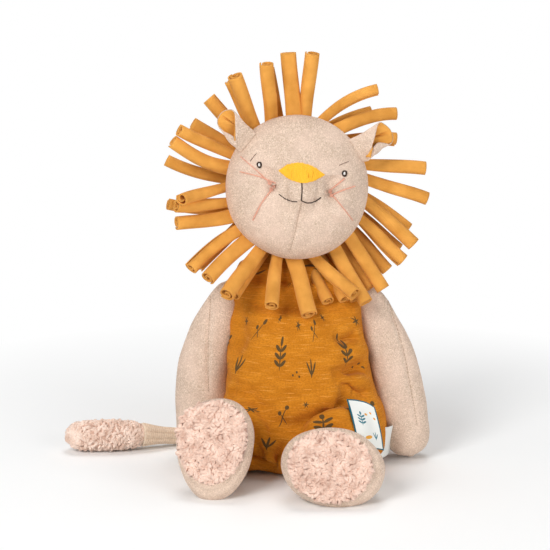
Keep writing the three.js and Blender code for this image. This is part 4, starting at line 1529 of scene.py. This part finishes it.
def spiral_lines(radius, looseness):
    """The outer and inner line of a strip wound inwards, and how far along it each point lies."""
    angles, reach = [0.0], [radius]
    step = 2 * math.pi / ROLL_FACETS
    while reach[-1] - JERSEY_THICKNESS > ROLL_CORE_RADIUS:
        turns = angles[-1] / (2 * math.pi)
        wound = min(max(turns - WINDING_START_TURNS, 0) / WINDING_EASE_TURNS, 1)
        gap = OUTER_WINDING_GAP + (INNER_WINDING_GAP * looseness - OUTER_WINDING_GAP) * wound
        reach.append(reach[-1] - (JERSEY_THICKNESS + gap) * step / (2 * math.pi))
        angles.append(angles[-1] + step)
    angles, reach = np.array(angles), np.array(reach)
    way = np.stack([np.cos(angles), np.sin(angles)], 1)
    outer = way * reach[:, None]
    thickness = JERSEY_THICKNESS * np.minimum(ROLL_EDGE_SHARE + angles * ROLL_EDGE_TAPER, 1)
    run = np.concatenate([[0], np.cumsum(np.linalg.norm(np.diff(outer, axis=0), axis=1))])
    return outer, way * (reach - thickness)[:, None], run


def roll_direction(clock, swing, lift):
    angle, rise = math.radians(clock + swing), math.radians(lift)
    return vec(math.sin(angle) * math.cos(rise), math.cos(angle) * math.cos(rise), math.sin(rise))


def place_on_head(clock, depth, sunk):
    """A point on the head's round at a depth of its own frame, sunk in from the skin."""
    place = roll_direction(clock, 0, 0) * (head_radius_at(depth) - sunk)
    place[2] = depth
    return place


def roll_faces(rows, columns):
    """Faces of a roll: round its wound cloth, and along the cut edge at both open ends."""
    faces = grid_faces(rows, columns)
    last = (rows - 1) * columns
    for a in range(columns // 2 - 1):
        b = columns - 1 - a
        faces.append((a, b, b - 1, a + 1))
        faces.append((last + a + 1, last + b - 1, last + b, last + a))
    return faces


def add_roll(name, row, depth, number):
    """A strip of jersey wound up, pinched at its sewn root, with a bend and a lift of its own."""
    clock, swing, bend, lift, length_share, thickness_share = row
    looseness = RANDOM.uniform(*ROLL_LOOSENESS_SHARES)
    outer, inner, run = spiral_lines(ROLL_RADIUS * ROLL_SKIN_SHARE * thickness_share, looseness)
    turn = math.pi + ROLL_EDGE_SWING * math.sin(math.radians(GOLDEN_DEGREES * number))
    spin = np.array([[math.cos(turn), math.sin(turn)], [-math.sin(turn), math.cos(turn)]])
    outline = np.concatenate([outer, inner[::-1]]) @ spin
    around = np.arctan2(outline[:, 1], outline[:, 0])
    runs = np.concatenate([run, run[::-1]])
    length = ROLL_LENGTH * length_share + ROLL_ROOT_DEPTH
    centre = place_on_head(clock, depth, ROLL_ROOT_DEPTH)
    wander = vec(*[RANDOM.uniform(-1, 1) for _ in range(3)]) * ROLL_WANDER
    squeeze = RANDOM.uniform(*ROLL_SQUEEZE_SHARES)
    phase = RANDOM.uniform(0, 2 * math.pi)
    root_width = RANDOM.uniform(*ROLL_ROOT_WIDTH_SHARES)
    rings, uvs = [], []
    for step in range(ROLL_STEPS + 1):
        share = step / ROLL_STEPS
        direction = roll_direction(clock, swing + bend * share, lift * share ** LIFT_POWER)
        if step:
            middle = share - 0.5 / ROLL_STEPS
            way = roll_direction(clock, swing + bend * middle, lift * middle ** LIFT_POWER)
            centre = centre + way * length / ROLL_STEPS
        pinch = math.exp(-((share / ROOT_PINCH_SHARE) ** 2))
        flat = squeeze * (1 - ROLL_PINCH_SHARE * pinch)
        wide = 1 + (root_width - 1) * pinch
        creasing = ROLL_CREASE_SHARE + ROOT_CREASE_SHARE * pinch
        crease = 1 - creasing * np.cos(ROLL_CREASES * around + phase + ROLL_CREASE_TURN * share)
        place = centre + wander * math.sin(math.pi * share * ROLL_WANDER_WAVES)
        rings.append(ring_at(place, direction, FACE_OUT, outline * crease[:, None], flat, wide))
        uvs.append(np.stack([runs, np.full(len(runs), share * length)], 1))
    vertices = from_face(np.concatenate(rings))
    faces = roll_faces(len(rings), len(outline))
    piece = make_object(f"{name}_jersey", vertices, faces, MANE_JERSEY, np.concatenate(uvs))
    assigned(piece, "head", name)


def add_mane():
    layers = (("front", FRONT_ROLL_SHARES, 1.0), ("back", BACK_ROLL_SHARES, BACK_LAYER_SHARE))
    for layer, rows, depth_share in layers:
        depth = -(ROLL_RADIUS + SEAM_GAP) * depth_share
        for number, row in enumerate(rows):
            add_roll(f"mane_roll_{layer}_{number + 1:02d}", row, depth, number)


# Ears


def bell(places, middle, reach):
    """A soft hump from 0 to 1 on a round of length 1, about one place and of a reach."""
    gap = np.abs((places - middle + 0.5) % 1 - 0.5)
    return np.exp(-((gap / reach) ** 2))


def ear_rings(side, inset, first_share, last_share, rings, fold=0.0):
    """Rings of the ear's cup, from its flat base to its slanting rim, pressed inwards by inset."""
    out = roll_direction(side * EAR_CLOCK_DEGREES, 0, 0)
    root = place_on_head(side * EAR_CLOCK_DEGREES, EAR_ROOT_FORWARD, EAR_ROOT_DEPTH)
    axes = np.stack([out, side * np.cross(FACE_OUT, out), FACE_OUT])
    places = np.arange(EAR_SIDES) / EAR_SIDES
    angles = 2 * math.pi * places
    deep = np.sign(np.sin(angles)) * np.abs(np.sin(angles)) ** EAR_BASE_POWER
    base = [np.zeros(EAR_SIDES), -EAR_BASE_HALF_WIDTH * np.cos(angles), EAR_BASE_HALF_DEPTH * deep]
    base = np.stack(base, 1)
    rim = closed_curve(EAR_RIM_SHARES[side], EAR_RIM_PLACE_SHARES, places) * EAR_REACH
    rim[:, 0] += EAR_ROOT_DEPTH
    shares = even_shares(EAR_GRID_RINGS)[:, None, None]
    swell = (rim - rim.mean(0)) * vec(0, 1, 1)
    swell *= EAR_SWELL / np.linalg.norm(swell, axis=1, keepdims=True)
    lobe = bell(places, EAR_LOBE_PLACE_SHARE, EAR_LOBE_REACH_SHARE)[None, :, None]
    lobe = lobe * EAR_LOBE_RISES[side] / EAR_SWELL
    swell = swell * (np.sin(math.pi * shares) + lobe * np.sin(math.pi * shares ** 2))
    grid = base * (1 - shares) + rim * shares + swell
    lips = bell(places, EAR_FOLD_PLACE_SHARE, EAR_FOLD_REACH_SHARE)
    lips = lips - bell(places, EAR_FOLD_PLACE_SHARE, EAR_CREASE_REACH_SHARE)
    deep = inset + fold * lips[None, :, None] * np.sin(math.pi * shares ** EAR_FOLD_POWER)
    grid = (grid + normals_of(grid) * deep) @ axes + root
    picks = first_share + (last_share - first_share) * even_shares(rings)[:, None]
    picks = picks * (len(grid) - 1)
    low = np.clip(picks.astype(int), 0, len(grid) - 2)
    part = (picks - low)[..., None]
    column = np.arange(EAR_SIDES)[None, :]
    return grid[low, column] * (1 - part) + grid[low + 1, column] * part


def add_ear(side, name):
    """A velour cup with a turned lip, and the jersey lining inside it."""
    outer_rings, lip_rings, inner_rings = EAR_SHELL_RINGS
    shell = np.concatenate([
        ear_rings(side, 0, 0, 1, outer_rings),
        ear_rings(side, EAR_WALL / 2, 1, EAR_LIP_SHARE, lip_rings)[1:],
        ear_rings(side, EAR_WALL, EAR_SHELL_START_SHARE, 1, inner_rings)[::-1],
    ])
    gap = EAR_WALL + EAR_LINING_GAP
    outer_rings, inner_rings = EAR_LINING_RINGS
    outer_start, inner_start = EAR_LINING_START_SHARES
    inset = gap + EAR_LINING_WALL
    inner = ear_rings(side, inset, inner_start, EAR_LINING_END_SHARE, inner_rings, EAR_FOLD_RISE)
    outer = ear_rings(side, gap, outer_start, EAR_LINING_END_SHARE, outer_rings)
    lining = np.concatenate([outer, inner[::-1]])
    parts = (
        (shell, "velour", VELOUR, "ear_shell_", "beige_velour"),
        (lining, "lining", MANE_JERSEY, "ear_lining_", "mane_jersey"),
    )
    for rings, word, material, node, slot in parts:
        uvs = rings.reshape(-1, 3)[:, :2]
        piece = lofted(f"ear_{name}_{word}", rings, material, uvs, from_face)
        recalculate_normals(piece)
        assigned(piece, "head", node + name)


# Body


def body_form():
    rows = len(BODY_LEAN_SHARES) - 1
    spine = [
        vec(0, NECK_SET_BACK * share, BODY_HEIGHT * step / rows - FLOOR_PRESS)
        for step, share in enumerate(BODY_LEAN_SHARES)
    ]
    sizes = (BODY_HALF_WIDTH, BODY_HALF_DEPTH)
    return form_of(spine, BODY_PROFILE_SHARES, *sizes, squareness=BODY_SQUARENESS)


def thigh_end(side):
    return vec(side * THIGH_SPREAD - LEG_SKEW, -THIGH_REACH, THIGH_HALF_HEIGHT - FLOOR_PRESS)


def thigh_form(side):
    end = thigh_end(side)
    spine = [vec(side * THIGH_SPREAD, 0, end[2]), end]
    return form_of(spine, THIGH_PROFILE_SHARES, THIGH_HALF_WIDTH, THIGH_HALF_HEIGHT)


def seat_form():
    """The romper's seat, which comes forward between the thighs."""
    height = SEAT_HALF_HEIGHT - FLOOR_PRESS
    spine = [vec(-LEG_SKEW, 0, height), vec(-LEG_SKEW, -SEAT_REACH, height)]
    return form_of(spine, THIGH_PROFILE_SHARES, SEAT_HALF_WIDTH, SEAT_HALF_HEIGHT)


def press_sides(piece):
    """Presses the romper in at its sides, where an arm lies against it."""
    places = read_vertices(piece)
    for side, widths in ((1, LEFT_PRESS_WIDTHS), (-1, RIGHT_PRESS_WIDTHS)):
        reach = places[:, 0] * side
        limit = np.interp(places[:, 2], PRESS_HEIGHTS, widths)
        both = np.exp(-reach / PRESS_SOFTNESS) + np.exp(-limit / PRESS_SOFTNESS)
        pressed = -PRESS_SOFTNESS * np.log(both)
        places[:, 0] = np.where(reach > 0, pressed * side, places[:, 0])
    write_vertices(piece, places)


def apply_modifiers(piece):
    graph = bpy.context.evaluated_depsgraph_get()
    mesh = bpy.data.meshes.new_from_object(piece.evaluated_get(graph))
    piece.modifiers.clear()
    piece.data = mesh
    smooth_shade(mesh)


def puffed(piece):
    """Lets the filling press the romper's cloth out within a cap, held at its neck, floor and hems."""
    start = read_vertices(piece)
    held = piece.vertex_groups.new(name="held")
    still = (start[:, 2] > BODY_HEIGHT * PUFF_NECK_SHARE) | (start[:, 2] < PUFF_FLOOR_HEIGHT)
    still |= start[:, 1] < -THIGH_REACH * PUFF_HEM_SHARE
    held.add([int(number) for number in np.nonzero(still)[0]], 1.0, "REPLACE")
    cloth = piece.modifiers.new("cloth", "CLOTH").settings
    cloth.vertex_group_mass = "held"
    cloth.use_pressure = True
    cloth.uniform_pressure_force = PUFF_PRESSURE
    cloth.effector_weights.gravity = 0
    cloth.shrink_min = -PUFF_EASE_SHARE
    for step in range(1, PUFF_FRAMES + 1):
        bpy.context.scene.frame_set(step)
    apply_modifiers(piece)
    bpy.context.scene.frame_set(1)
    shift = read_vertices(piece) - start
    reach = np.linalg.norm(shift, axis=1, keepdims=True)
    shift *= PUFF_CAP * np.tanh(reach / PUFF_CAP) / np.maximum(reach, LEAST_LENGTH)
    write_vertices(piece, start + shift)


def romper_block():
    """The body, thighs and seat as one closed cloth, rounded where they meet."""
    vertices, faces = [], []
    forms = (
        (body_form(), BODY_DOME), (thigh_form(1), THIGH_DOME), (thigh_form(-1), THIGH_DOME),
        (seat_form(), SEAT_DOME),
    )
    for form, dome in forms:
        rings = stuffed_rings(form, TORSO_RINGS, TORSO_SIDES, (dome, dome))
        faces.extend(loft_faces(len(rings), TORSO_SIDES, len(vertices)))
        vertices.extend(rings.reshape(-1, 3))
    torso = make_object("romper", vertices, faces, ROMPER)
    remesh = torso.modifiers.new("remesh", "REMESH")
    remesh.mode = "VOXEL"
    remesh.voxel_size = PUFF_VOXEL
    smooth = torso.modifiers.new("smooth", "SMOOTH")
    smooth.factor = SMOOTHING_SHARE
    smooth.iterations = SMOOTHINGS
    apply_modifiers(torso)
    return torso


def add_torso():
    torso = romper_block()
    puffed(torso)
    finer = torso.modifiers.new("finer", "SUBSURF")
    finer.levels = finer.render_levels = TORSO_SUBDIVISIONS
    apply_modifiers(torso)
    press_sides(torso)
    rumple(torso, ROMPER_RUMPLE_SIZE, ROMPER_RUMPLE_HEIGHT, ROMPER_RUMPLE_SEED)
    carve_relief(torso, ROMPER_FOLDS)
    drop_on_floor(torso)
    paint_romper_uvs(torso)
    return assigned(torso, "body", "torso")


def paint_romper_uvs(torso):
    """Lays the cloth's flat coordinates on the romper: round the body, and up it or along a thigh."""
    mesh = torso.data
    x, y, z = read_vertices(torso).T
    round_body = np.arctan2(x, -y) * ROMPER_WRAP_RADIUS
    up_body = z - np.maximum(0, -y - BODY_HALF_DEPTH)
    corners = corners_of(mesh)
    starts = np.empty(len(mesh.polygons), np.int32)
    mesh.polygons.foreach_get("loop_start", starts)
    u = round_body[corners]
    spans = np.maximum.reduceat(u, starts) - np.minimum.reduceat(u, starts)
    counts = np.diff(np.append(starts, len(u)))
    crossing = np.repeat(spans > math.pi * ROMPER_WRAP_RADIUS, counts)
    u[crossing & (u < 0)] += 2 * math.pi * ROMPER_WRAP_RADIUS
    layer = mesh.uv_layers.new(name="cloth")
    layer.data.foreach_set("uv", np.stack([u, up_body[corners]], 1).astype(np.float32).ravel())


# Arms and legs


def arm_form(arm):
    shoulder = vec(arm["side"] * SHOULDER_SPREAD, SHOULDER_BACK, BODY_HEIGHT - SHOULDER_DROP)
    outwards = ARM_LENGTH * arm["outwards_share"]
    forwards = ARM_LENGTH * arm["forwards_share"]
    drop = math.sqrt(ARM_LENGTH ** 2 - outwards ** 2 - forwards ** 2)
    hand = shoulder + vec(arm["side"] * outwards, -forwards, -drop)
    elbow = (shoulder + hand) / 2 + vec(arm["side"] * HAND_RADIUS * arm["bow_share"], 0, 0)
    start = shoulder - vec(arm["side"] * SHOULDER_OVERRUN, 0, 0)
    end = hand + unit(hand - elbow) * HAND_RADIUS
    half_width = HAND_RADIUS * arm["girth_share"]
    spine = [start, elbow, hand, end]
    return form_of(spine, ARM_PROFILE_SHARES, half_width, half_width * HAND_DEPTH_SHARE)


def add_arm(arm, name):
    rings = stuffed_rings(arm_form(arm), ARM_RINGS, ARM_SIDES, ARM_DOMES)
    rings = roughened(rings, ARM_RUMPLE_SIZE, ARM_RUMPLE_HEIGHT, ARM_RUMPLE_SEED + arm["side"])
    piece = lofted(f"{name}_skin", rings, VELOUR)
    carve_relief(piece, [(arm["seam_pixels"], -ARM_SEAM_DEPTH, ARM_SEAM_REACH)])
    drop_on_floor(piece)
    rows = [(arm["seam_pixels"], *ARM_SEAM_ROW)]
    add_stitches(f"{name}_seam", surface_of(piece), rows, "seam_thread", name)
    assigned(piece, name, name)


def leg_form(foot):
    root = thigh_end(foot["side"])
    roll = math.radians(foot["roll_degrees"])
    half_height = math.hypot(FOOT_HALF_LENGTH * math.cos(roll), FOOT_HALF_WIDTH * math.sin(roll))
    start = root + vec(0, LEG_ROOT_DEPTH, 0)
    end = vec(
        root[0] + foot["side"] * foot["outwards_share"] * FOOT_HALF_WIDTH,
        root[1] - LEG_LENGTH * foot["forwards_share"],
        half_height - FLOOR_PRESS,
    )
    spine = [start, (start + end) / 2, end]
    across = vec(-foot["side"] * math.sin(roll), 0, math.cos(roll))
    form = form_of(spine, LEG_PROFILE_SHARES, FOOT_HALF_LENGTH, FOOT_HALF_WIDTH, across)
    return {**form, "heel_share": foot["heel_share"]}


def tipped_up(points, form):
    """Tips a foot's sole up, turning it about the lowest line of its front, and narrows its heel."""
    start, end = form["spine"][0], form["spine"][-1]
    run = end - start
    share = np.clip(((points - start) @ run / run.dot(run) - TIP_START_SHARE) / TIP_SPAN_SHARE, 0, 1)
    weight = share * share * (3 - 2 * share)
    angle = math.radians(FOOT_TIP_DEGREES) * weight
    back, height = points[:, 1] - end[1], points[:, 2]
    tipped = points.copy()
    tipped[:, 1] = end[1] + back * np.cos(angle) + height * np.sin(angle)
    tipped[:, 2] = height * np.cos(angle) - back * np.sin(angle)
    lowness = np.clip(1 - height / end[2], -1, 1)
    tipped[:, 0] = end[0] + (points[:, 0] - end[0]) * (1 - form["heel_share"] * lowness * weight)
    return tipped


def add_leg(foot, name):
    form = leg_form(foot)
    rings = stuffed_rings(form, LEG_RINGS, LEG_SIDES, (LEG_ROOT_DOME, SOLE_DOME), SOLE_DOME_STEPS)
    rings = roughened(rings, LEG_RUMPLE_SIZE, LEG_RUMPLE_HEIGHT, LEG_RUMPLE_SEED + foot["side"])
    piece = lofted(f"leg_{name}_skin", rings, VELOUR, moved=lambda points: tipped_up(points, form))
    drop_on_floor(piece)
    assigned(piece, f"leg_{name}", f"leg_{name}")
    add_sole(foot, form, name)


def curl(pile, centre, normal, flow, sizes):
    """One clump of yarn that lies on a surface: two strands wound about each other, ends tucked in."""
    turn = flow + RANDOM.uniform(-sizes["sway"], sizes["sway"])
    length, radius, rise = (RANDOM.uniform(*sizes[key]) for key in ("length", "radius", "rise"))
    side = unit(np.cross(normal, vec(*CURL_ACROSS)))
    along = side * math.cos(turn) + np.cross(normal, side) * math.sin(turn)
    aside = np.cross(normal, along)
    bend, phase = RANDOM.uniform(-CURL_BEND_SHARE, CURL_BEND_SHARE), RANDOM.uniform(0, 2 * math.pi)
    for strand in (0, math.pi):
        points, radii = [], []
        for step in range(CURL_STEPS + 1):
            share = step / CURL_STEPS
            arch = math.sin(math.pi * share)
            wind = phase + strand + CURL_TWIST * share
            place = centre + along * (share - 0.5) * length + aside * bend * length * arch
            place = place + normal * (rise * arch - radius * CURL_SUNK_SHARE)
            around = aside * math.cos(wind) + normal * math.sin(wind)
            points.append(place + around * radius * CURL_SPREAD_SHARE)
            radii.append(radius * (CURL_END_SHARE + CURL_MIDDLE_SHARE * arch))
        pile.tube(points, radii)


def sole_rise(share):
    """How high the sole's dome stands at a share of the way from its middle to its edge."""
    return SOLE_DOME * math.sqrt(max(0.0, 1 - (share * SOLE_CURVE_SHARE) ** 2))


def add_sole(foot, form, name):
    """A crowned pad of yarn clumps sewn on the foot's sole, over a base darkened as painted shade."""
    shift = foot["pad_shift"]
    centre = curve_at(form["spine"], 1) + vec(shift[0], 0, shift[1])
    direction = tangent_at(form["spine"], 1)
    across, deep = axes_across(direction, form["across"])
    half_across, half_deep = across * SOLE_HALF_LENGTH, deep * SOLE_HALF_WIDTH
    outline = circle_outline(SOLE_SIDES)
    rings = []
    for share in np.linspace(1, SOLE_MIDDLE_SHARE, SOLE_RINGS):
        sizes = (SOLE_HALF_LENGTH * share, SOLE_HALF_WIDTH * share)
        rings.append(ring_at(centre + direction * sole_rise(share), direction, across, outline, *sizes))
    rings = np.array([rings[0] - direction * SOLE_BACKING] + rings)
    # The base is coloured darker as painted shade of the hollows between the clumps
    yarn = YARN["pink_boucle_painted_shade"]
    base = lofted(f"sole_{name}_base", rings, yarn, moved=lambda points: tipped_up(points, form))
    pile = Pile()
    for number in range(SOLE_CURLS):
        share = math.sqrt((number + 0.5) / SOLE_CURLS) * SOLE_CURL_REACH_SHARE
        angle = number * math.radians(GOLDEN_DEGREES)
        place = centre + half_across * share * math.cos(angle) + half_deep * share * math.sin(angle)
        place = place + direction * sole_rise(share)
        spread = across * math.cos(angle) + deep * math.sin(angle)
        normal = unit(direction + spread * SOLE_SPREAD_SHARE * share ** 3)
        flow = soft_noise(place, SOLE_FLOW_SIZE, SOLE_FLOW_SEED + foot["side"]) * math.pi
        curl(pile, place, normal, flow * SOLE_FLOW_HALF_TURNS, SOLE_CURL_SIZES)
    pile.vertices = tipped_up(np.array(pile.vertices), form)
    for piece in (base, pile.made(f"sole_{name}_boucle", YARN["pink_boucle"])):
        assigned(piece, f"leg_{name}", f"sole_pad_{name}")


# Tail


TAIL_ROOT = vec(-TAIL_ROOT_SIDE, TAIL_ROOT_BACK, TAIL_CORD_RADIUS)


def tail_point(along_share, forward_share, height):
    """A point beside the lion, as shares of the tail's reach: along it and forward."""
    forward = TAIL_ROOT[1] - TAIL_REACH * forward_share
    return vec(TAIL_ROOT[0] - TAIL_REACH * along_share, forward, height)


def tail_end():
    return tail_point(1, TAIL_FORWARD_SHARE, TAIL_TUFT_RADIUS - FLOOR_PRESS)


def add_tail_cord():
    start = TAIL_ROOT + vec(TAIL_ROOT_DEPTH, -TAIL_ROOT_DEPTH, 0)
    middle = tail_point(TAIL_MIDDLE_SHARE, TAIL_MIDDLE_FORWARD_SHARE, TAIL_CORD_RADIUS - FLOOR_PRESS)
    spine = [start, TAIL_ROOT, middle, tail_end()]
    sides = TAIL_RIBS * SIDES_PER_RIB
    angles = angles_round(sides)
    ridges = np.abs(np.cos(angles * TAIL_RIBS / 2)) ** TAIL_RIB_POWER
    outline = circle_outline(sides) * (1 - TAIL_RIB_SHARE * (1 - ridges))[:, None]
    rings, uvs = [], []
    for place in even_shares(CORD_RINGS):
        flared = max(0.0, (place - CORD_FLARE_START_SHARE) / CORD_FLARE_SPAN_SHARE)
        waver = 1 + CORD_WAVER_SHARE * math.sin(place * CORD_WAVERS)
        radius = TAIL_CORD_RADIUS * (1 + CORD_FLARE_SHARE * flared ** 2) * waver
        centre = curve_at(spine, place)
        rings.append(ring_at(centre, tangent_at(spine, place), UP, outline, radius, radius))
        uvs.append(np.stack([angles * TAIL_CORD_RADIUS, np.full(sides, place * TAIL_REACH)], 1))
    piece = lofted("tail_knit", np.array(rings), KNIT, np.concatenate(uvs))
    drop_on_floor(piece)
    assigned(piece, "tail", "tail_cord")


def add_tuft():
    """A round of yarn clumps at the end of the tail, over a base darkened as painted shade."""
    start = tail_end()
    end = start + vec(-TAIL_TUFT_LENGTH, -TAIL_TUFT_LENGTH * TUFT_FORWARD_SHARE, 0)
    radius = TAIL_TUFT_RADIUS * TUFT_BASE_SHARE
    form = form_of([start, end], TUFT_PROFILE_SHARES, radius, radius, UP)
    rings = stuffed_rings(form, TUFT_RINGS, TUFT_SIDES, TUFT_DOMES)
    # The base is coloured darker as painted shade of the hollows between the clumps
    base = lofted("tail_tuft_base", rings, YARN["pink_boucle_tuft_painted_shade"])
    pile = Pile()
    normals = normals_of(rings)
    covered = len(rings) - 2 * TUFT_BARE_RINGS
    for number in range(TUFT_CURLS):
        row = TUFT_BARE_RINGS + int(covered * (number + 0.5) / TUFT_CURLS)
        column = int(number * GOLDEN_DEGREES / 360 * TUFT_SIDES) % TUFT_SIDES
        place = rings[row, column]
        flow = soft_noise(place, TUFT_FLOW_SIZE, TUFT_FLOW_SEED) * math.pi * TUFT_FLOW_HALF_TURNS
        curl(pile, place, normals[row, column], flow, TUFT_CURL_SIZES)
    for piece in (base, pile.made("tail_boucle", YARN["pink_boucle_tuft"])):
        drop_on_floor(piece)
        assigned(piece, "tail", "tail_tuft")


# Labels


def side_label_grid(torso):
    """The label's points where the photograph shows them, between the romper and its own front."""
    tree = surface_of(torso)
    grid = [[at_pixel(tree, pixel) for pixel in row] for row in SIDE_LABEL_PIXELS]
    front = min(point[1] for row in grid for point in row) - LABEL_LIFT

    def stood_off(point):
        depth = front + LABEL_CLING_SHARE * (point[1] - front)
        return CAMERA_EYE + (point - CAMERA_EYE) * (depth - CAMERA_EYE[1]) / (point[1] - CAMERA_EYE[1])

    return [[stood_off(point) for point in row] for row in grid]


def care_label_grid():
    lean = math.radians(CARE_LABEL_TILT_DEGREES)
    down = vec(math.sin(lean), 0, -math.cos(lean)) * CARE_LABEL_HEIGHT
    height = THIGH_HALF_HEIGHT * CARE_LABEL_HEIGHT_SHARE
    top = [
        vec(BODY_HALF_WIDTH * across, BODY_HALF_DEPTH * back, height) - down / 2
        for across, back in CARE_LABEL_PATH_SHARES
    ]
    return [[point + down * share for point in top] for share in even_shares(CARE_LABEL_ROWS)]


def label_faces(rows, columns):
    """Faces of a ribbon's front, its back and the four edges between them."""
    count = rows * columns
    faces = [tuple(reversed(face)) for face in grid_faces(rows, columns, closed=False)]
    faces += [tuple(count + i for i in reversed(face)) for face in faces]
    rim = list(range(columns))
    rim += [row * columns + columns - 1 for row in range(1, rows)]
    rim += [count - 1 - i for i in range(1, columns)]
    rim += [(rows - 1 - row) * columns for row in range(1, rows - 1)]
    return faces + [(a, b, b + count, a + count) for a, b in zip(rim, rim[1:] + rim[:1])]


def add_label(name, node, grid, material):
    """A ribbon of woven cloth over a grid of points, row by row from its top."""
    places = np.array([
        [curve_at([curve_at(line, u) for line in grid], v) for u in even_shares(LABEL_COLUMNS)]
        for v in even_shares(LABEL_ROWS)
    ])
    outwards = np.cross(np.gradient(places, axis=1), np.gradient(places, axis=0))
    outwards /= np.linalg.norm(outwards, axis=2, keepdims=True)
    backs = places - outwards * LABEL_THICKNESS
    half_width, half_height = LABEL_WIDTH / 2, LABEL_HEIGHT / 2
    across = np.linspace(-half_width, half_width, LABEL_COLUMNS)
    down = np.linspace(half_height, -half_height, LABEL_ROWS)
    uvs = np.stack(np.meshgrid(across, down), 2).reshape(-1, 2)
    vertices = np.concatenate([places, backs]).reshape(-1, 3)
    faces = label_faces(LABEL_ROWS, LABEL_COLUMNS)
    piece = make_object(name, vertices, faces, material, np.concatenate([uvs, uvs]))
    recalculate_normals(piece)
    assigned(piece, "body", node)


# The scene


bpy.context.scene.view_settings.view_transform = "Standard"
add_camera()
add_lights()
paint_world()
add_floor()
head_skin = add_head()
add_face(head_skin)
add_mane()
add_ear(1, "left")
add_ear(-1, "right")
romper = add_torso()
add_arm(LEFT_ARM, "arm_left")
add_arm(RIGHT_ARM, "arm_right")
add_leg(LEFT_FOOT, "left")
add_leg(RIGHT_FOOT, "right")
add_tail_cord()
add_tuft()
add_label("side_label_ribbon", "side_label", side_label_grid(romper), LABEL)
add_label("care_label_ribbon", "care_label", care_label_grid(), CARE_LABEL)
